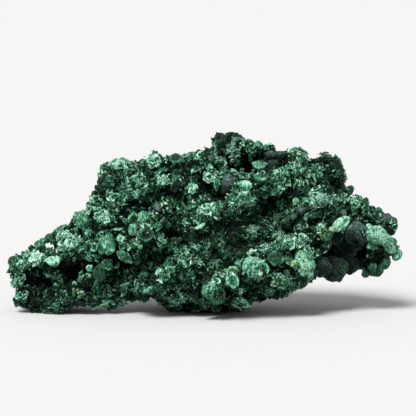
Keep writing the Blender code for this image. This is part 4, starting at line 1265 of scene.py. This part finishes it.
CUP_TEMPLATES = [spun_template(CUP_PROFILE, 16, kind) for kind in range(CUP_KINDS)]
CAP_TEMPLATES = [spun_template(CAP_PROFILE, 16, kind) for kind in range(CUP_KINDS)]
ALMOND_TEMPLATES = [spun_template(ALMOND_PROFILE, 20, 1, point=0.45)]
SMALL_CUP_TEMPLATES = [spun_template(CUP_PROFILE[1:], 7, kind) for kind in range(CUP_KINDS)]
print("cup faces", len(CUP_TEMPLATES[0][1]), len(SMALL_CUP_TEMPLATES[0][1]))

# %% [markdown]
# ## Setting the named pieces
#
# The pieces of the tables are stuck onto the crust one by one, like stones pressed into clay: each
# is turned on the show face, tilted off it and sunk a little. The arch has no crust right behind it
# to fall on, so its pieces stand at one depth.

# %% Set the blocks, cups and caps that can be named
SUNK_SHARE = 0.15


def tilted(right, tilt_up):
    """The axes across, up and out, tilted to the right and up by these degrees."""
    turn = Euler((-math.radians(tilt_up), math.radians(right), 0)).to_matrix()
    return Matrix((ACROSS, UP, OUT)).transposed() @ turn


def set_by_hand(name, templates, rows, finish, smooth=False, out=None):
    """Pieces turned on the show face and tilted off it, on the crust or at one depth."""
    copies = []
    for across, up, wide, high, deep, turn, right, tilt_up, tone in rows:
        axes, turn = tilted(right, tilt_up), math.radians(turn)
        spot = touch(across, up)[0] if out is None else to_frame(across, up, out)
        copies.append((spot - axes.col[2] * deep * SUNK_SHARE * MM, axes.col[2].copy(),
                       axes @ Vector((-math.sin(turn), math.cos(turn), 0)), (wide, high, deep), tone))
    plant(name, templates, *zip(*copies), finish, smooth)


set_by_hand("named_blocks", BLOCK_TEMPLATES, BLOCK_ROWS, BLOCKS)
set_by_hand("arch_blocks", BLOCK_TEMPLATES, ARCH_ROWS, BLOCKS, out=ARCH_OUT)
set_by_hand("named_cups", CUP_TEMPLATES, CUP_ROWS, BLOCKS, smooth=True)
set_by_hand("named_caps", CAP_TEMPLATES, CAP_ROWS, BLOCKS, smooth=True)
set_by_hand("almond", ALMOND_TEMPLATES, ALMOND_ROWS, BLOCKS, smooth=True)
# The pale masses and slate lumps are ball shapes, painted paler towards their front as painted light.
set_by_hand("pale_mass", LUMP_TEMPLATES, PALE_MASS_ROWS, MOTTLED, smooth=True)
set_by_hand("slate_lumps", LUMP_TEMPLATES, SLATE_ROWS, VELVET, smooth=True)

# %% [markdown]
# ## The bell
#
# Under the grotto a pale dome flares downwards like a bell, and its skirt is what the longest
# fibres hang from. It is a profile spun round its axis, then waved at the skirt, with petals folded
# over its shoulder and down its sides.

# %% Spin the bell and hang its petals
BELL_PROFILE = (
    (0.0, 1.0, 0.7), (0.45, 0.97, 0.85), (0.8, 0.75, 0.8), (0.72, 0.4, 0.25), (0.62, 0.05, 0.35),
    (0.7, -0.4, 0.4), (0.85, -0.95, 0.5), (0.6, -0.8, 0.1),
)
BELL_PLACE = (18.4, 57.2)
BELL_SIZE = (3.7, 3.0, 4.6)
BELL_SUNK = 1.0
BELL_TONE = 0.55
# Each: across, up, length, turn on the face of the way it hangs (degrees), tone.
BELL_PETALS = (
    (15.8, 60.5, 3.6, -100, 0.45), (14.6, 58, 4.6, -115, 0.5), (13.2, 55.2, 4.4, -125, 0.5),
    (11.6, 52.6, 4.0, -140, 0.45), (9, 50.8, 3.2, -165, 0.4), (6, 50.4, 2.6, 170, 0.35),
    (20.8, 60.6, 2.6, -70, 0.2), (21.2, 57, 2.8, -75, 0.15), (16.8, 54.2, 3.6, -100, 0.35),
    (19.5, 53.8, 2.8, -85, 0.2), (22, 52.5, 2.4, -60, 0.2), (17.8, 50.8, 2.6, -95, 0.3),
    (14.8, 51.6, 3.0, -120, 0.35), (6, 62.5, 3.4, -100, 0.45), (4.8, 60, 3.6, -95, 0.45),
    (7, 60.5, 2.6, -80, 0.3), (-43.5, 44.5, 2.4, 200, 0.4), (-42.6, 42.6, 2.0, 20, 0.3),
)

bell = spun_template(BELL_PROFILE, 24, 3, wobble_height=0.1)
bell_spot = touch(*BELL_PLACE)[0] - Vector(OUT) * BELL_SUNK * MM
plant("bell", [bell], [bell_spot], [Vector(UP) * 0.9 + Vector(OUT) * 0.45], [OUT], [BELL_SIZE], [BELL_TONE],
      BLOCKS, smooth=True)

petals = [(touch(across, up)[0] + Vector(OUT) * 0.4 * length * MM, face_way(turn) + Vector(OUT) * 0.3, -OUT,
           length, tone) for across, up, length, turn, tone in BELL_PETALS]
plant("petals", FLAKE_TEMPLATES, *zip(*petals), FLAKES)

# %% [markdown]
# ## Named rosettes
#
# A few rosettes are as large as a ball: rings of flakes, the outer ones laid flat and the inner
# ones upright, like a rose.

# %% Fold the named rosettes
# Each ring: its radius as a share of the rosette's, flakes, slope, and a flake's length.
RINGS = ((1.0, 12, 1.1, 0.62), (0.62, 9, 0.6, 0.6), (0.3, 6, 0.2, 0.5))


def fold_rosette(across, up, radius, right, tilt_up, tone):
    """The copies of one rosette, each a spot, an aim, a lean, a size and a tone."""
    axes = tilted(right, tilt_up)
    middle, _ = touch(across, up)
    for place, count, slope, length in RINGS:
        for k in range(count):
            angle = math.tau * (k + dice.uniform(-0.3, 0.3)) / count
            outward = axes @ Vector((math.cos(angle), math.sin(angle), 0))
            long = length * radius * dice.uniform(0.75, 1.15)
            yield (middle + (outward * place * radius * 0.55 - axes.col[2] * 0.25 * radius) * MM,
                   axes.col[2] + outward * slope, outward, (long, long, long * 1.1),
                   tone + dice.normal(0, 0.25))


folded_flakes = [copy for row in ROSETTES for copy in fold_rosette(*row)]
plant("named_rosettes", FLAKE_TEMPLATES, *zip(*folded_flakes), FLAKES)

# %% [markdown]
# ## Small blocks and cups
#
# More blocks and cups, a millimetre or two across, are too many to name. They are scattered where
# fibre bundles ended bluntly: round the named ones, and thinly elsewhere.

# %% Scatter small blocks and cups where the fibres ended bluntly
blunt = near(-40, 33, 22, 16) + near(-70, 20, 20, 14) + near(45, 24, 26, 8) + near(78, 35, 16, 14)
blunt += 0.35 * near(-30, 62, 26, 14) + 0.35 * near(15, 70, 18, 12) + 0.3 * (out_of < -8) + 0.05
for name, templates, count, smooth in (("small_blocks", SMALL_BLOCK_TEMPLATES, 460, False),
                                       ("small_cups", SMALL_CUP_TEMPLATES, 90, True)):
    picks, spots = scatter(count, blunt * crested)
    radius = dice.uniform(0.7, 1.5, count)
    sizes = np.stack([radius] + [radius * dice.uniform(least, 1.4, count) for least in (0.7, 0.8)], 1)
    plant(name, templates, spots, tri_facing[picks] + random_ways(count) * 0.3, random_ways(count), sizes,
          tone_and_shade_at(picks, spots, 0.25) + 0.1, BLOCKS, smooth)
